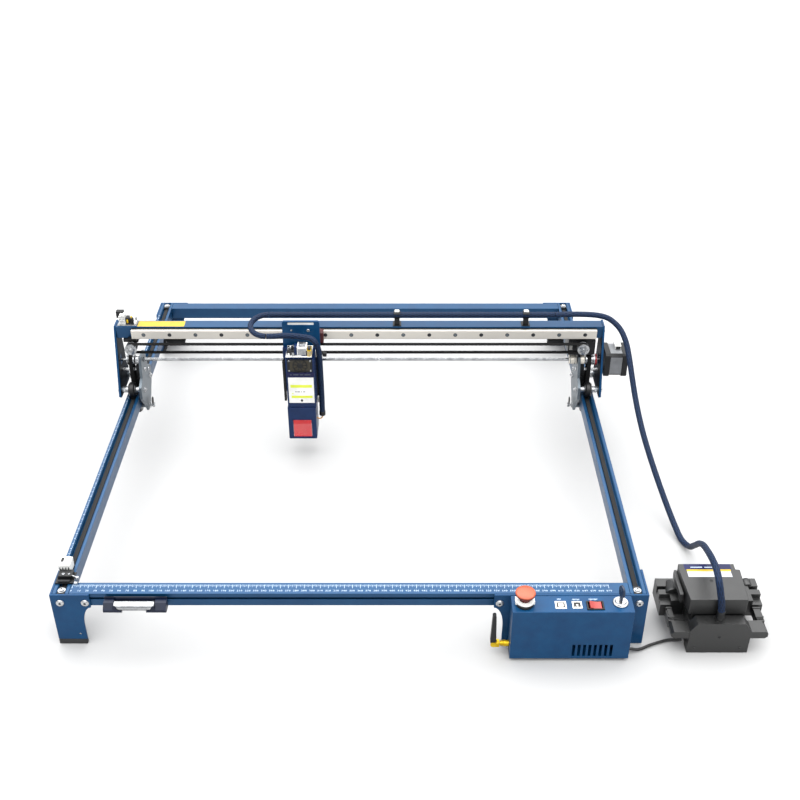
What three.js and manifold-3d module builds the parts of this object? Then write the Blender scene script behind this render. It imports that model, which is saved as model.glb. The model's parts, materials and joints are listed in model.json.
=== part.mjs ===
// Desktop laser cutter: a low extruded frame on sheet-metal legs, a belt-driven gantry on
// wheels, a laser head on a linear guide, a controller box and an air pump with its hose.
// Millimetres. X to the right, Y to the rear, Z up. The frame is laid out about the middle
// of its width, with its front face at y = 0, and the whole is centred at the end.
import * as THREE from 'three';
import { mergeVertices } from 'three/addons/utils/BufferGeometryUtils.js';
import Module from 'manifold-3d';

const wasm = await Module();
wasm.setup();

// ---- driving dimensions ----
const GAP = 0.3;                      // clearance between neighbouring pieces
const HALF_W = 372;                   // half the frame's width
const DEPTH = 767;                    // front face to rear face
const RAIL = 20;                      // square rail section
const TOP = 83.4;                     // top of the frame
const SHEET = 2.8;                    // leg plate thickness
const LEG = 48;                       // length of a leg's side wall
const SLOT_W = 9.6;                   // width of a rail's top slot
const RAIL_X = HALF_W - SHEET - GAP - RAIL / 2;      // centre line of the side rails
const FOOT_H = 8.2;
const WHEEL_R = 12, WHEEL_W = 10.2, WHEEL_Z = 94.6;
const WHEEL_Y = [456, 500];           // front and rear top wheels
const ROLLER_Y = 478, ROLLER_Z = 51.1;
const SHAFT_Y = 478, SHAFT_Z = 136.8;   // shaft that drives both Y belts
const BEAM_Y = 474, BEAM_Z = 177.4;   // front bottom edge of the gantry beam
const GUIDE_T = 8, GUIDE_H = 15;      // linear guide thickness and height
const PLATE_OUT = 376, PLATE_IN = 341;   // inner faces of the gantry's end plates
const BELT_Z = 166.8, BELT_R = 7.3, BELT_Y = 458.2, BELT_W = 6, BELT_T = 1.4;
const IDLER_X = -352.7, DRIVE_X = 346;  // X belt pulleys
const HEAD_X = -88;                   // middle of the laser head
const CASE = { x0: 200, x1: 349, y0: -29.7, y1: -GAP, z0: 3.7, z1: TOP };
const ESTOP = [215.8, -15.3];
const KEY = [333.8, -13.2];
const ROCKER = [302, -18.5, 81];
const ANT = [180, -15, 16.5];         // antenna pivot
const HOSE_D = 8.6, CABLE_D = 3.8;

// ---- colours ----
const BLUE = 0x2a5a8c, STEEL = 0xb9bcc0, BLACK = 0x17181a, GREY = 0x3a3c40, SILVER = 0xd8dadc;
const NAVY = 0x22365f, RED = 0xd8261c, GOLD = 0xd4b23a, PALE = 0x8f979e;

const root = new THREE.Group();
const cords = [];

function part(name, geometry, color, roughness = 0.5, metalness = 0.1) {
  const material = new THREE.MeshStandardMaterial({ color, roughness, metalness });
  const mesh = new THREE.Mesh(geometry, material);
  mesh.name = name;
  root.add(mesh);
  return mesh;
}

// ---- shape helpers ----
function box(x0, x1, y0, y1, z0, z1) {
  const g = new THREE.BoxGeometry(x1 - x0, y1 - y0, z1 - z0);
  return g.translate((x0 + x1) / 2, (y0 + y1) / 2, (z0 + z1) / 2);
}

function outline(points) {
  return new THREE.Shape(points.map(([a, b]) => new THREE.Vector2(a, b)));
}

function extrude(points, depth) {
  return new THREE.ExtrudeGeometry(outline(points), { depth, bevelEnabled: false });
}

// points are [x, y], raised from z0 to z1
function slabZ(points, z0, z1) {
  return extrude(points, z1 - z0).translate(0, 0, z0);
}

// points are [x, z], spread from y0 to y1
function slabY(points, y0, y1) {
  return extrude(points, y1 - y0).rotateX(Math.PI / 2).translate(0, y1, 0);
}

// points are [y, z], spread from x0 to x1
function slabX(points, x0, x1) {
  const m = new THREE.Matrix4().makeBasis(
    new THREE.Vector3(0, 1, 0), new THREE.Vector3(0, 0, 1), new THREE.Vector3(1, 0, 0));
  return extrude(points, x1 - x0).applyMatrix4(m).translate(x0, 0, 0);
}

// a cylinder between two points on an axis line; axis is 'x', 'y' or 'z'
function rod(axis, r, from, to, c, n = 24) {
  const g = new THREE.CylinderGeometry(r, r, to - from, n);
  if (axis === 'x') return g.rotateZ(-Math.PI / 2).translate((from + to) / 2, c[0], c[1]);
  if (axis === 'y') return g.translate(c[0], (from + to) / 2, c[1]);
  return g.rotateX(Math.PI / 2).translate(c[0], c[1], (from + to) / 2);
}

// a turned piece: profile [radius, along], about an axis through c
function turned(axis, profile, c, n = 24) {
  const g = new THREE.LatheGeometry(profile.map(([r, a]) => new THREE.Vector2(r, a)), n);
  if (axis === 'x') g.rotateZ(-Math.PI / 2);
  if (axis === 'z') g.rotateX(Math.PI / 2);
  return g.translate(...c);
}

function toManifold(geometry) {
  let g = geometry.clone();
  g.deleteAttribute('normal');
  g.deleteAttribute('uv');
  g = mergeVertices(g, 1e-4);
  return new wasm.Manifold(new wasm.Mesh({
    numProp: 3,
    vertProperties: new Float32Array(g.attributes.position.array),
    triVerts: new Uint32Array(g.index.array),
  }));
}

function fromManifold(m) {
  const out = m.getMesh();
  const g = new THREE.BufferGeometry();
  g.setAttribute('position', new THREE.BufferAttribute(new Float32Array(out.vertProperties), 3));
  g.setIndex(new THREE.BufferAttribute(new Uint32Array(out.triVerts), 1));
  const flat = g.toNonIndexed();
  flat.computeVertexNormals();
  return flat;
}

function join(...pieces) {
  return fromManifold(pieces.map(toManifold).reduce((a, b) => a.add(b)));
}

function cut(piece, ...tools) {
  return fromManifold(tools.map(toManifold).reduce((a, b) => a.subtract(b), toManifold(piece)));
}

// corner points of a rounded rectangle, or any outline with its corners cut by c
function chamfered(x0, x1, y0, y1, c) {
  return [[x0 + c, y0], [x1 - c, y0], [x1, y0 + c], [x1, y1 - c],
    [x1 - c, y1], [x0 + c, y1], [x0, y1 - c], [x0, y0 + c]];
}

// ---- frame rails ----
// A slotted square section, w wide and h high about (0, 0), with a slot in its top face.
function railOutline(w, h, slot) {
  const a = slot / 2, b = a + 2.1, lip = 1.9, deep = 6.6, v = 1.3;
  return [[-w / 2, -h / 2], [w / 2, -h / 2], [w / 2, h / 2], [a + v, h / 2], [a, h / 2 - v],
    [a, h / 2 - lip], [b, h / 2 - lip], [b, h / 2 - deep], [-b, h / 2 - deep],
    [-b, h / 2 - lip], [-a, h / 2 - lip], [-a, h / 2 - v], [-a - v, h / 2], [-w / 2, h / 2]];
}

const RAIL_Z = TOP - RAIL / 2;
const INNER = SHEET + GAP;
for (const [side, s] of [['left', -1], ['right', 1]]) {
  const section = railOutline(RAIL, RAIL, SLOT_W).map(([x, z]) => [x + s * RAIL_X, z + RAIL_Z]);
  part(`${side}_rail`, slabY(section, INNER, DEPTH - INNER), BLUE);
  part(`${side}_drive_belt`,
    box(s * RAIL_X - 3, s * RAIL_X + 3, 14, DEPTH - 14, TOP - 6.2, TOP - 4.8), BLACK, 0.8);
}

const CROSS_X = RAIL_X - RAIL / 2 - GAP;
// the front rail carries its slot in its front face, the rear rail in its inner face
const frontSection = [[INNER, TOP - RAIL], [INNER + RAIL, TOP - RAIL], [INNER + RAIL, TOP],
  [INNER, TOP], [INNER, TOP - 6.5], [INNER + 1.6, TOP - 6.5], [INNER + 1.6, TOP - 4.6],
  [INNER + 5, TOP - 4.6], [INNER + 5, TOP - 14], [INNER + 1.6, TOP - 14],
  [INNER + 1.6, TOP - 10.2], [INNER, TOP - 10.2]];
part('front_rail', slabX(frontSection, -CROSS_X, CROSS_X), BLUE);
part('rear_rail', slabX(frontSection.map(([y, z]) => [DEPTH - y, z]).reverse(),
  -CROSS_X, CROSS_X), BLUE);

// ---- legs and feet ----
// The leg's face: straight under the rail, then hollowed by a shallow arc down to the foot.
function legFace(outer, inner, low) {
  const s = Math.sign(outer - inner);
  const pts = [[outer, low], [outer, TOP], [inner, TOP], [inner, 62.5]];
  for (let i = 1; i <= 6; i++) {
    const t = i / 6;
    pts.push([inner + s * 12.4 * Math.sin(t * Math.PI / 2), 62.5 - 30 * (1 - Math.cos(t * Math.PI / 2))]);
  }
  pts.push([inner + s * 12.2, low]);
  return pts;
}

function leg(name, sx, rear, width, low, drain) {
  const outer = sx * HALF_W, inner = sx * (HALF_W - width);
  let face = legFace(outer, inner, low);
  if (THREE.ShapeUtils.area(face.map(([x, y]) => ({ x, y }))) < 0) face = face.reverse();
  const y0 = rear ? DEPTH - SHEET : 0;
  const wall = slabY(face, y0, y0 + SHEET);
  const w0 = rear ? DEPTH - LEG : 0;
  const side = [[w0, low], [w0 + LEG, low], [w0 + LEG, 40], [w0 + LEG, TOP], [w0, TOP]];
  const x = sx * HALF_W;
  const flank = slabX(side, Math.min(x, x - sx * SHEET), Math.max(x, x - sx * SHEET));
  const body = join(wall, flank);
  part(name, drain ? cut(body, slabY(drain, y0 - 1, y0 + SHEET + 1)) : body, BLUE);
}
// the front left leg has a small diamond-shaped hole low in its face
leg('leg_front_left', -1, false, 49, FOOT_H + GAP,
  [[-346, 16.6], [-343.4, 14.4], [-340.8, 16.6], [-343.4, 18.8]]);
leg('leg_front_right', 1, false, 192, 0.8);
leg('leg_rear_left', -1, true, 49, FOOT_H + GAP);
leg('leg_rear_right', 1, true, 49, FOOT_H + GAP);

function foot(name, sx, rear, inset) {
  const w = 36, t = 5.5;
  const xo = sx * (HALF_W - inset), y0 = rear ? DEPTH - inset : inset, d = rear ? -1 : 1;
  const pts = [[xo, y0], [xo - sx * w, y0], [xo - sx * w, y0 + d * t],
    [xo - sx * t, y0 + d * t], [xo - sx * t, y0 + d * 40], [xo, y0 + d * 40]];
  const ring = THREE.ShapeUtils.area(pts.map(([x, y]) => ({ x, y }))) < 0 ? pts.reverse() : pts;
  part(name, slabZ(ring, 0, FOOT_H), 0x2c2d30, 0.9);
}
foot('foot_front_left', -1, false, 0);
foot('foot_front_right', 1, false, SHEET + GAP);
foot('foot_rear_left', -1, true, 0);
foot('foot_rear_right', 1, true, 0);

// ---- controller box ----
const { x0, x1, y0, y1, z0, z1 } = CASE;
const wall = 2;
const vents = [];
for (let i = 0; i < 8; i++) {
  const x = 277.5 + i * 6.7;
  vents.push(box(x, x + 3.6, y0 - 1, y0 + wall + 1, 8, 28));
}
part('controller_case', cut(
  slabX(chamfered(y0, y1, z0, z1, 0.8), x0, x1),
  box(x0 + wall, x1 - wall, y0 + wall, y1 + 1, z0 + wall, z1 - wall),
  box(ROCKER[0] - 8.8, ROCKER[0] + 8.8, ROCKER[1] - 6.9, ROCKER[1] + 6.9, z1 - 3, z1 + 1),
  ...vents), BLUE);

// rocker switch, rocked down on its right
const rocker = slabY([[-6.4, -4], [6.4, -4], [7.6, 4.7], [0, 3.6], [-7.6, 4.7]], -6.3, 6.3);
rocker.rotateY(7 * Math.PI / 180).translate(...ROCKER);
part('rocker', rocker, 0xb8382f, 0.35);

part('estop_collar', cut(
  turned('z', [[0, 0], [10.4, 0], [10.4, 3.4], [12, 5], [12, 8], [0, 8]], [...ESTOP, TOP + GAP]),
  rod('z', 6.9, TOP - 1, TOP + 12, ESTOP)), SILVER, 0.3, 0.8);
part('estop_button',
  turned('z', [[0, 4.6], [6.5, 4.6], [6.5, 12.6], [10.2, 13.2], [11.4, 15.2], [12.4, 16.8],
    [12.4, 19], [10, 20.4], [5, 21.2], [0, 21.4]], [...ESTOP, TOP]), RED, 0.3);

part('key_lock',
  turned('z', [[0, 0], [9.6, 0], [9.6, 1.7], [8, 3], [0, 3]], [...KEY, TOP + GAP]), SILVER, 0.25, 0.9);
part('key', slabX([[-2.6, 0.3], [2.6, 0.3], [2.6, 7], [6.4, 9.6], [6.4, 20.5], [4.2, 23.2],
  [-4.2, 23.2], [-6.4, 20.5], [-6.4, 9.6], [-2.6, 7]], -1.5, 1.5)
  .rotateZ(14 * Math.PI / 180).translate(KEY[0], KEY[1], TOP + 3.2 + GAP), 0x2c2e33, 0.45);

// antenna: threaded connector, hinged knuckle, blade
part('antenna_connector',
  turned('x', [[0, 0], [3.1, 0], [3.1, 4.5], [4.1, 5], [4.1, 11.2], [0, 11.2]],
    [x0 - GAP - 11.2, ANT[1], ANT[2]], 12), GOLD, 0.3, 0.9);
const cheek = (a, b) => join(rod('y', 3.6, a, b, [ANT[0], ANT[2]], 16),
  box(ANT[0], ANT[0] + 8, a, b, ANT[2] - 3.4, ANT[2] + 3.4));
part('antenna_knuckle', join(
  cheek(ANT[1] - 3.9, ANT[1] - 2), cheek(ANT[1] + 2, ANT[1] + 3.9),
  box(ANT[0] + 4.6, ANT[0] + 8, ANT[1] - 3.9, ANT[1] + 3.9, ANT[2] - 3.4, ANT[2] + 3.4)),
GOLD, 0.3, 0.9);
part('antenna', join(
  rod('y', 3, ANT[1] - 1.7, ANT[1] + 1.7, [ANT[0], ANT[2]], 12),
  box(ANT[0] - 2.4, ANT[0] + 2.4, ANT[1] - 1.7, ANT[1] + 1.7, ANT[2], ANT[2] + 5),
  slabY([[-3.8, 4.2], [3.8, 4.2], [2.2, 47.6], [0.9, 49], [-0.9, 49], [-2.2, 47.6]], -3.4, 3.4)
    .translate(...ANT)), BLACK, 0.6);

// ---- focus gauge: a turned steel slug lying in a cradle on the front rail ----
const GAUGE = { x0: -290.7, length: 50.3, y: -7.8, z: 73.4, r: 6.2 };
const CRADLE = [[-0.3, 66], [-12, 66], [-14.8, 68.5], [-14.8, 72], [-8.5, 79], [-0.3, 79]].reverse();
const cradleArm = [[-0.3, 66], [-12, 66], [-14.8, 68.5], [-14.8, 71], [-0.3, 71]].reverse();
part('gauge_cradle', cut(join(
  slabX(CRADLE, -303.6, -291), slabX(CRADLE, -240, -225.8),
  slabX(cradleArm, -291.5, -281), slabX(cradleArm, -250.4, -239.5),
  box(-303.6, -225.8, -1.4, -0.3, 66, 82)),
rod('x', GAUGE.r + GAP, -291, -240, [GAUGE.y, GAUGE.z], 24)), 0x1b2f57, 0.5);
part('focus_gauge', turned('x', [[0, 0], [5.6, 0], [GAUGE.r, 0.7], [GAUGE.r, GAUGE.length - 0.7],
  [5.6, GAUGE.length], [0, GAUGE.length]], [GAUGE.x0, GAUGE.y, GAUGE.z], 24), SILVER, 0.2, 1);

part('y_limit_switch', join(
  box(-RAIL_X - 10.6, -RAIL_X + 12, 20, 40, TOP + GAP, TOP + 8),
  box(-RAIL_X - 10.6, -RAIL_X + 5, 39, 56, TOP + GAP, TOP + 16)), SILVER, 0.4);

// ---- gantry ----
const BEAM_TOP = BEAM_Z + RAIL, BEAM_HALF = 375.7;
part('x_beam', slabX([[BEAM_Y, BEAM_Z], [BEAM_Y + 20, BEAM_Z], [BEAM_Y + 20, BEAM_TOP],
  [BEAM_Y, BEAM_TOP]], -BEAM_HALF, BEAM_HALF), BLUE);
const guideY = BEAM_Y - GAP - GUIDE_T, guideZ = BEAM_Z + 2.7;
part('linear_guide', slabX(chamfered(guideY, guideY + GUIDE_T, guideZ, guideZ + GUIDE_H, 0.6),
  -351, 366), STEEL, 0.25, 0.95);

const outerFace = [[445, 87], [450, 83], [506, 83], [512, 88], [512, 108], [506, 124],
  [500, 180], [497, BEAM_TOP], [476, BEAM_TOP], [472, 186]];
const innerFace = [[466, 147], [462, 138], [457, 114], [441, 106], [440, 86], [457, 66],
  [465, 56], [469, 47], [487, 47], [491, 56], [499, 66], [515, 86], [515, 106], [499, 114], [494, 138], [490, 147]];
const axles = (x0, x1, r) => [...WHEEL_Y.map((y) => [y, WHEEL_Z]), [ROLLER_Y, ROLLER_Z]]
  .map(([y, z]) => rod('x', r, x0, x1, [y, z], 12));
for (const [side, s] of [['left', -1], ['right', 1]]) {
  const xo = s * PLATE_OUT, xi = s * PLATE_IN;
  // the inner plate carries the wheel axles; the outer plate is bolted to the beam's end
  const plate = slabX(innerFace, Math.min(xi, xi + s * 4), Math.max(xi, xi + s * 4));
  const a = s > 0 ? xi + 3 : xo + GAP, b = s > 0 ? xo - GAP : xi - 3;
  const bore = rod('x', 4.2, xi - 6, xi + 6, [SHAFT_Y, SHAFT_Z], 20);
  const pins = axles(a, b, 2.5);
  const collars = [...WHEEL_Y.map((y) => [y, WHEEL_Z]), [ROLLER_Y, ROLLER_Z]].flatMap(([y, z]) => {
    const near = s * (RAIL_X - WHEEL_W / 2 - GAP), far = s * (RAIL_X + WHEEL_W / 2 + GAP);
    const one = rod('x', 4.4, Math.min(xi + s * 3, near), Math.max(xi + s * 3, near), [y, z], 12);
    if (z === ROLLER_Z) return [one];
    return [one, rod('x', 4.4, Math.min(far, xo - s * GAP), Math.max(far, xo - s * GAP), [y, z], 12)];
  });
  part(`inner_plate_${side}`, cut(join(plate, ...pins, ...collars), bore), PALE, 0.4, 0.6);
  const shaftHole = rod('x', s > 0 ? 11.4 : 4.2, xo - 9, xo + 9, [SHAFT_Y, SHAFT_Z], 24);
  part(`outer_plate_${side}`,
    cut(slabX(outerFace, Math.min(xo, xo + s * 3), Math.max(xo, xo + s * 3)), shaftHole), BLUE);
}

// wheels: V-edged tyres that run in the rail's chamfered slot
function wheel(name, x, y, z) {
  const h = WHEEL_W / 2, R = WHEEL_R, b = 2.72;
  part(name, turned('x', [[b, -h], [9.6, -h], [9.9, -h + 0.2], [R, -h + 2.3], [R, h - 2.3],
    [9.9, h - 0.2], [9.6, h], [b, h], [b, -h]], [x, y, z], 24), 0x1c1d20, 0.5);
}
for (const [side, s] of [['left', -1], ['right', 1]]) {
  wheel(`wheel_front_${side}`, s * RAIL_X, WHEEL_Y[0], WHEEL_Z);
  wheel(`wheel_rear_${side}`, s * RAIL_X, WHEEL_Y[1], WHEEL_Z);
  wheel(`roller_${side}`, s * RAIL_X, ROLLER_Y, ROLLER_Z);
}

// the cross shaft, with a belt pulley at each end and the coupling beside the right one
part('sync_shaft', turned('x', [[0, -378], [2.5, -378], [2.5, -366], [8.8, -366], [8.8, -364.6],
  [6.9, -364.6], [6.9, -355.4], [8.8, -355.4], [8.8, -354], [2.5, -354], [2.5, 328], [6.4, 328],
  [6.4, 340], [3.6, 340], [3.6, 346], [2.5, 346], [2.5, 354], [8.8, 354], [8.8, 355.4],
  [6.9, 355.4], [6.9, 364.6], [8.8, 364.6], [8.8, 366], [2.5, 366], [2.5, 381.6], [0, 381.6]],
[0, SHAFT_Y, SHAFT_Z], 16), SILVER, 0.25, 0.9);

// motors
const mz = SHAFT_Z, my = SHAFT_Y;
part('y_motor', join(
  slabX(chamfered(my - 20.5, my + 20.5, mz - 20.5, mz + 20.5, 3), 382, 390),
  slabX(chamfered(my - 19.8, my + 19.8, mz - 19.8, mz + 19.8, 4.5), 389, 410),
  slabX(chamfered(my - 20.5, my + 20.5, mz - 20.5, mz + 20.5, 3), 409, 417.5),
  box(399, 408, my - 2, my + 14, mz + 19, mz + 25)), BLACK, 0.5, 0.3);
part('x_motor', slabY(chamfered(324.5, 366.5, 149, BEAM_Z - GAP, 2), 470.6, 506), BLACK, 0.5, 0.3);
part('idler_bracket', join(
  box(-366, -343, 471, 492, BELT_Z + 5, BEAM_Z - GAP),
  box(IDLER_X - 7, IDLER_X + 7, 471, 476, BELT_Z - 6, BELT_Z + 6)), BLACK, 0.5);

// X belt and its two pulleys
const hoop = (r) => {
  const pts = [];
  for (let i = 0; i <= 10; i++) {
    const a = -Math.PI / 2 + (i / 10) * Math.PI;
    pts.push([DRIVE_X + r * Math.cos(a), BELT_Z + r * Math.sin(a)]);
  }
  for (let i = 0; i <= 10; i++) {
    const a = Math.PI / 2 + (i / 10) * Math.PI;
    pts.push([IDLER_X + r * Math.cos(a), BELT_Z + r * Math.sin(a)]);
  }
  return pts;
};
part('x_belt', cut(slabY(hoop(BELT_R + BELT_T / 2), BELT_Y, BELT_Y + BELT_W),
  slabY(hoop(BELT_R - BELT_T / 2), BELT_Y - 1, BELT_Y + BELT_W + 1)), BLACK, 0.8);
const pulley = [[0, 455.9], [9, 455.9], [9, 457.8], [6.1, 457.8], [6.1, 464.6],
  [9, 464.6], [9, 465.6], [3, 465.6], [3, 470.3], [0, 470.3]];
part('x_drive_pulley', turned('y', pulley, [DRIVE_X, 0, BELT_Z], 20), SILVER, 0.3, 0.9);
part('x_idler_pulley', turned('y', pulley, [IDLER_X, 0, BELT_Z], 20), SILVER, 0.3, 0.9);

part('x_limit_switch', join(
  box(-373, -343, 476, 496, BEAM_TOP + GAP, BEAM_TOP + 4),
  box(-370, -356, 478, 490, BEAM_TOP + 3, BEAM_TOP + 19),
  box(-354, -345, 478, 492, BEAM_TOP + 3, BEAM_TOP + 13)), SILVER, 0.4);

// ---- head ----
const HX = HEAD_X;
part('carriage', cut(
  slabX(chamfered(456.6, 470, 178.4, 197, 1.2), HX - 28, HX + 33.5),
  box(HX - 40, HX + 40, guideY - GAP, 472, guideZ - GAP, guideZ + GUIDE_H + GAP)), 0x54201f, 0.5, 0.4);
part('head_plate', cut(
  slabY(chamfered(HX - 28.5, HX + 28.5, 112, 219, 2.5), 452.2, 456.3),
  slabY(chamfered(HX - 20.5, HX + 20.5, 212.4, 216.8, 1.5), 450, 458)), BLUE);

// laser module: finned body with its fan well, and the sliding back plate behind it
const LX0 = HX - 22, LX1 = HX + 21.7;
part('laser_case', cut(join(
  slabY(chamfered(LX0, LX1, 90.6, 176.5, 1), 411, 447),
  slabY(chamfered(HX - 29, HX + 28.5, 98, 176, 1.5), 446, 451.9),
  box(LX0 + 2, LX1 - 2, 413, 446, 175, 179),
  box(LX0 - 0.5, LX1 - 3.4, 411.5, 447, 178.8, 180.6),
  box(HX - 8, HX + 8, 416, 428, 180, 195),
  box(LX0 + 2, LX0 + 12, 418, 430, 180, 188),
  box(LX1 - 19, LX1 - 10, 414, 425, 180, 190)),
rod('y', 13.4, 409, 424, [HX, 161.2], 28),
slabX([[440, 147], [446, 147], [446, 175], [440, 175]], LX0 - 1, LX0 + 3)), NAVY, 0.45, 0.3);

const blades = [];
for (let i = 0; i < 7; i++) {
  blades.push(slabY([[4.6, -1], [12.6, -2.4], [12.6, 1.2], [4.6, 1]], -2.6, 2.6)
    .rotateY(i * 2 * Math.PI / 7));
}
part('fan_rotor', join(rod('y', 5.6, -4, 4, [0, 0], 20), ...blades)
  .translate(HX, 418, 161.2), BLACK, 0.4);

part('laser_shield', cut(
  slabZ(chamfered(HX - 23, HX + 20.8, 409, 451.9, 1), 33, 90.3),
  box(HX - 21, HX + 18.8, 411, 449.9, 30, 95),
  box(HX - 15.3, HX + 13.3, 405, 413, 36.7, 68.3)), NAVY, 0.5, 0.2);
part('shield_window', box(HX - 15, HX + 13, 408.9, 410.9, 37, 68), RED, 0.15);
part('focus_knob', join(rod('x', 4.6, HX + 32, HX + 38, [449, 164], 16),
  rod('x', 1.6, HX + 28.8, HX + 33, [449, 164], 12)), BLACK, 0.5);

// ---- air pump ----
const OUTLET = [462.4, -7];            // hose barb on top of the pump's front block
const sideBlock = (a, b) => box(a, b, 30, 72, 20, 46);
const notch = (a, b) => [box(a, b, 51, 57, 36, 47), box(a, b, 29, 42, 39, 47)];
part('pump_base', join(
  cut(join(sideBlock(397, 428), sideBlock(500, 528)), ...notch(396, 410), ...notch(515, 529)),
  slabY([[425.6, 0], [502.4, 0], [502.6, 37], [493, 49.3], [434, 49.3], [425.5, 37]], -15.4, 0.4),
  slabY(chamfered(403, 524.6, 24, 35, 3.4), -14.6, 6),
  box(427, 500, 0, 66, 0, 40),
  box(403, 410, 5, 31, 24, 35), box(515, 524.6, 5, 31, 24, 35),
  rod('z', 4.8, 48, 54, OUTLET, 12), rod('z', 3.4, 53, 60.6, OUTLET, 12)), GREY, 0.6);
part('pump_hood', join(
  slabZ([[424.4, 0.9], [496.7, 0.9], [500, 56.8], [494.4, 57.6], [494.4, 68], [422.6, 68],
    [421.2, 57]], 50.5, 75),
  box(430, 496, 3, 61, 40.3, 52)), GREY, 0.55);

// ---- hose and cable ----
function cord(name, points, d, steps, sides) {
  const curve = new THREE.CatmullRomCurve3(
    points.map((p) => new THREE.Vector3(...p)), false, 'centripetal');
  const ring = [];
  for (let i = 0; i < sides; i++) {
    const a = (i / sides) * 2 * Math.PI;
    ring.push([d / 2 * Math.cos(a), d / 2 * Math.sin(a)]);
  }
  const g = new THREE.ExtrudeGeometry(outline(ring), { steps, extrudePath: curve, bevelEnabled: false });
  part(name, g, name.startsWith('hose') ? NAVY : BLACK, 0.8);
  cords.push(name);
}

const HOSE_Z = 215.5, HOSE_BACK = 480;
const TURN_X = -137, TURN_R = 26, TURN_DROP = 8.5;   // the U-turn ahead of the beam
const turn = (from, to, n) => Array.from({ length: n + 1 }, (_, i) => {
  const a = (from + (to - from) * i / n) * Math.PI / 180;
  return [TURN_X + TURN_R * Math.cos(a), HOSE_BACK - TURN_R + TURN_R * Math.sin(a),
    HOSE_Z - TURN_DROP * (1 - Math.sin(a)) / 2];
});
cord('hose_drop', [[301, HOSE_BACK, HOSE_Z], [330, 481.5, 215.4], [356, 482, 214.4],
  [374, 479, 211.6], [391, 473, 203.4], [404, 463.5, 193.6], [408.6, 450, 181], [412.4, 435, 167],
  [415.3, 421.6, 146], [418.4, 395, 126],
  [422.3, 369.4, 106], [428, 339.4, 84], [437.8, 301.7, 57], [448, 265, 33], [458.7, 222, 12],
  [464, 198, 6], [469.5, 178, 10], [468.6, 152, 34], [464.6, 123, 62], [461, 96, 82],
  [458, 68, 96], [455.5, 40, 107], [454, 14, 112], [453.8, -3, 107], [457, -9.5, 90],
  [460.6, -8.4, 75], [462.4, -7, 62]], HOSE_D, 48, 10);
cord('hose_beam_run', [[TURN_X + 0.6, HOSE_BACK, HOSE_Z], [-40, HOSE_BACK, HOSE_Z],
  [60, HOSE_BACK, HOSE_Z], [180, HOSE_BACK, HOSE_Z], [300.4, HOSE_BACK, HOSE_Z]], HOSE_D, 18, 10);
cord('hose_bend', turn(92, 268, 16), HOSE_D, 10, 10);
cord('hose_head_run', [[TURN_X + 0.6, HOSE_BACK - 2 * TURN_R, HOSE_Z - TURN_DROP], [-113, 428, 208.6],
  [-94, 428, 207.3], [-80, 428.6, 203.6], [-70, 429.4, 199.3], [-66, 430, 195.5],
  [-64, 430, 192.5], [-61, 430, 184.5], [-59.7, 430, 172], [-59.2, 430, 150], [-58.8, 430, 110],
  [-59, 430, 67]], HOSE_D, 24, 10);
cord('pump_cable', [[350.2, -15, 7], [365, -13, 3.2], [382, -4.4, 2.3], [407, 4.4, 2.3],
  [416, 3.4, 3], [422.8, 3, 5]], CABLE_D, 14, 8);

// ---- centre the whole on its footprint, resting on z = 0 ----
root.updateMatrixWorld(true);
const bounds = new THREE.Box3();
for (const mesh of root.children) if (!cords.includes(mesh.name)) bounds.expandByObject(mesh, true);
root.position.set(-(bounds.min.x + bounds.max.x) / 2, -(bounds.min.y + bounds.max.y) / 2, -bounds.min.z);

export default root;
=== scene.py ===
"""Desktop laser cutter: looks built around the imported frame.

Shapes are drawn in millimetres in the machine's own axes (x right, y to the rear, z up, with
x = 0 in the middle of the frame and y = 0 at its front face) and stored in metres in the row
frame, which lies SHIFT away.
"""
import json
import math

import bmesh
import bpy
from mathutils import Matrix, Vector

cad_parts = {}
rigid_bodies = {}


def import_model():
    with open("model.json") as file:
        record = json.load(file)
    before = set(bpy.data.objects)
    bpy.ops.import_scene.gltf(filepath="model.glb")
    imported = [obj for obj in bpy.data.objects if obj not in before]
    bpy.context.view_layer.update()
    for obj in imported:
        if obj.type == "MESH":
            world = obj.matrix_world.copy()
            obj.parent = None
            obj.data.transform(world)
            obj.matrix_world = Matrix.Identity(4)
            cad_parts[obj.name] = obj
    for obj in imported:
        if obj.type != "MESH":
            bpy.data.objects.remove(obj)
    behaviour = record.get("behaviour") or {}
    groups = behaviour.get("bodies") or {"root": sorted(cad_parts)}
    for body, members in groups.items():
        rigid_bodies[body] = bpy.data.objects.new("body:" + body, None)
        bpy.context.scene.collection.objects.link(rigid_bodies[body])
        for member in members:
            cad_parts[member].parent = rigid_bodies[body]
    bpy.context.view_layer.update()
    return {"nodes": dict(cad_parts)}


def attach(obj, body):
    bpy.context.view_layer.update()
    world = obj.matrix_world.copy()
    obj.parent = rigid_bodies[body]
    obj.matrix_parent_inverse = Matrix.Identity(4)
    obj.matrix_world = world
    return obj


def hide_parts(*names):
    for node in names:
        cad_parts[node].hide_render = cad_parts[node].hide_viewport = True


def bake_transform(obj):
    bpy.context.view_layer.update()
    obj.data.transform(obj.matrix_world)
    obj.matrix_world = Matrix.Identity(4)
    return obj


for old in list(bpy.data.objects):
    bpy.data.objects.remove(old)
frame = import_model()
SHIFT = Vector((-74.5, -368.65, 0.0))


def row(x, y, z):
    """A point of the machine's axes in millimetres, as metres in the row frame."""
    return (Vector((x, y, z)) + SHIFT) / 1000


def placed(name, data):
    """A new object of the data, linked into the scene."""
    obj = bpy.data.objects.new(name, data)
    bpy.context.scene.collection.objects.link(obj)
    return obj


# ---- camera ----
camera = placed("camera", bpy.data.cameras.new("camera"))
camera.location = row(62.9, -1012.7, 1033.4)
camera.rotation_euler = (math.radians(56.86), 0, 0)
camera.data.lens = 49.7
camera.data.sensor_width = 36
bpy.context.scene.camera = camera


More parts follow.
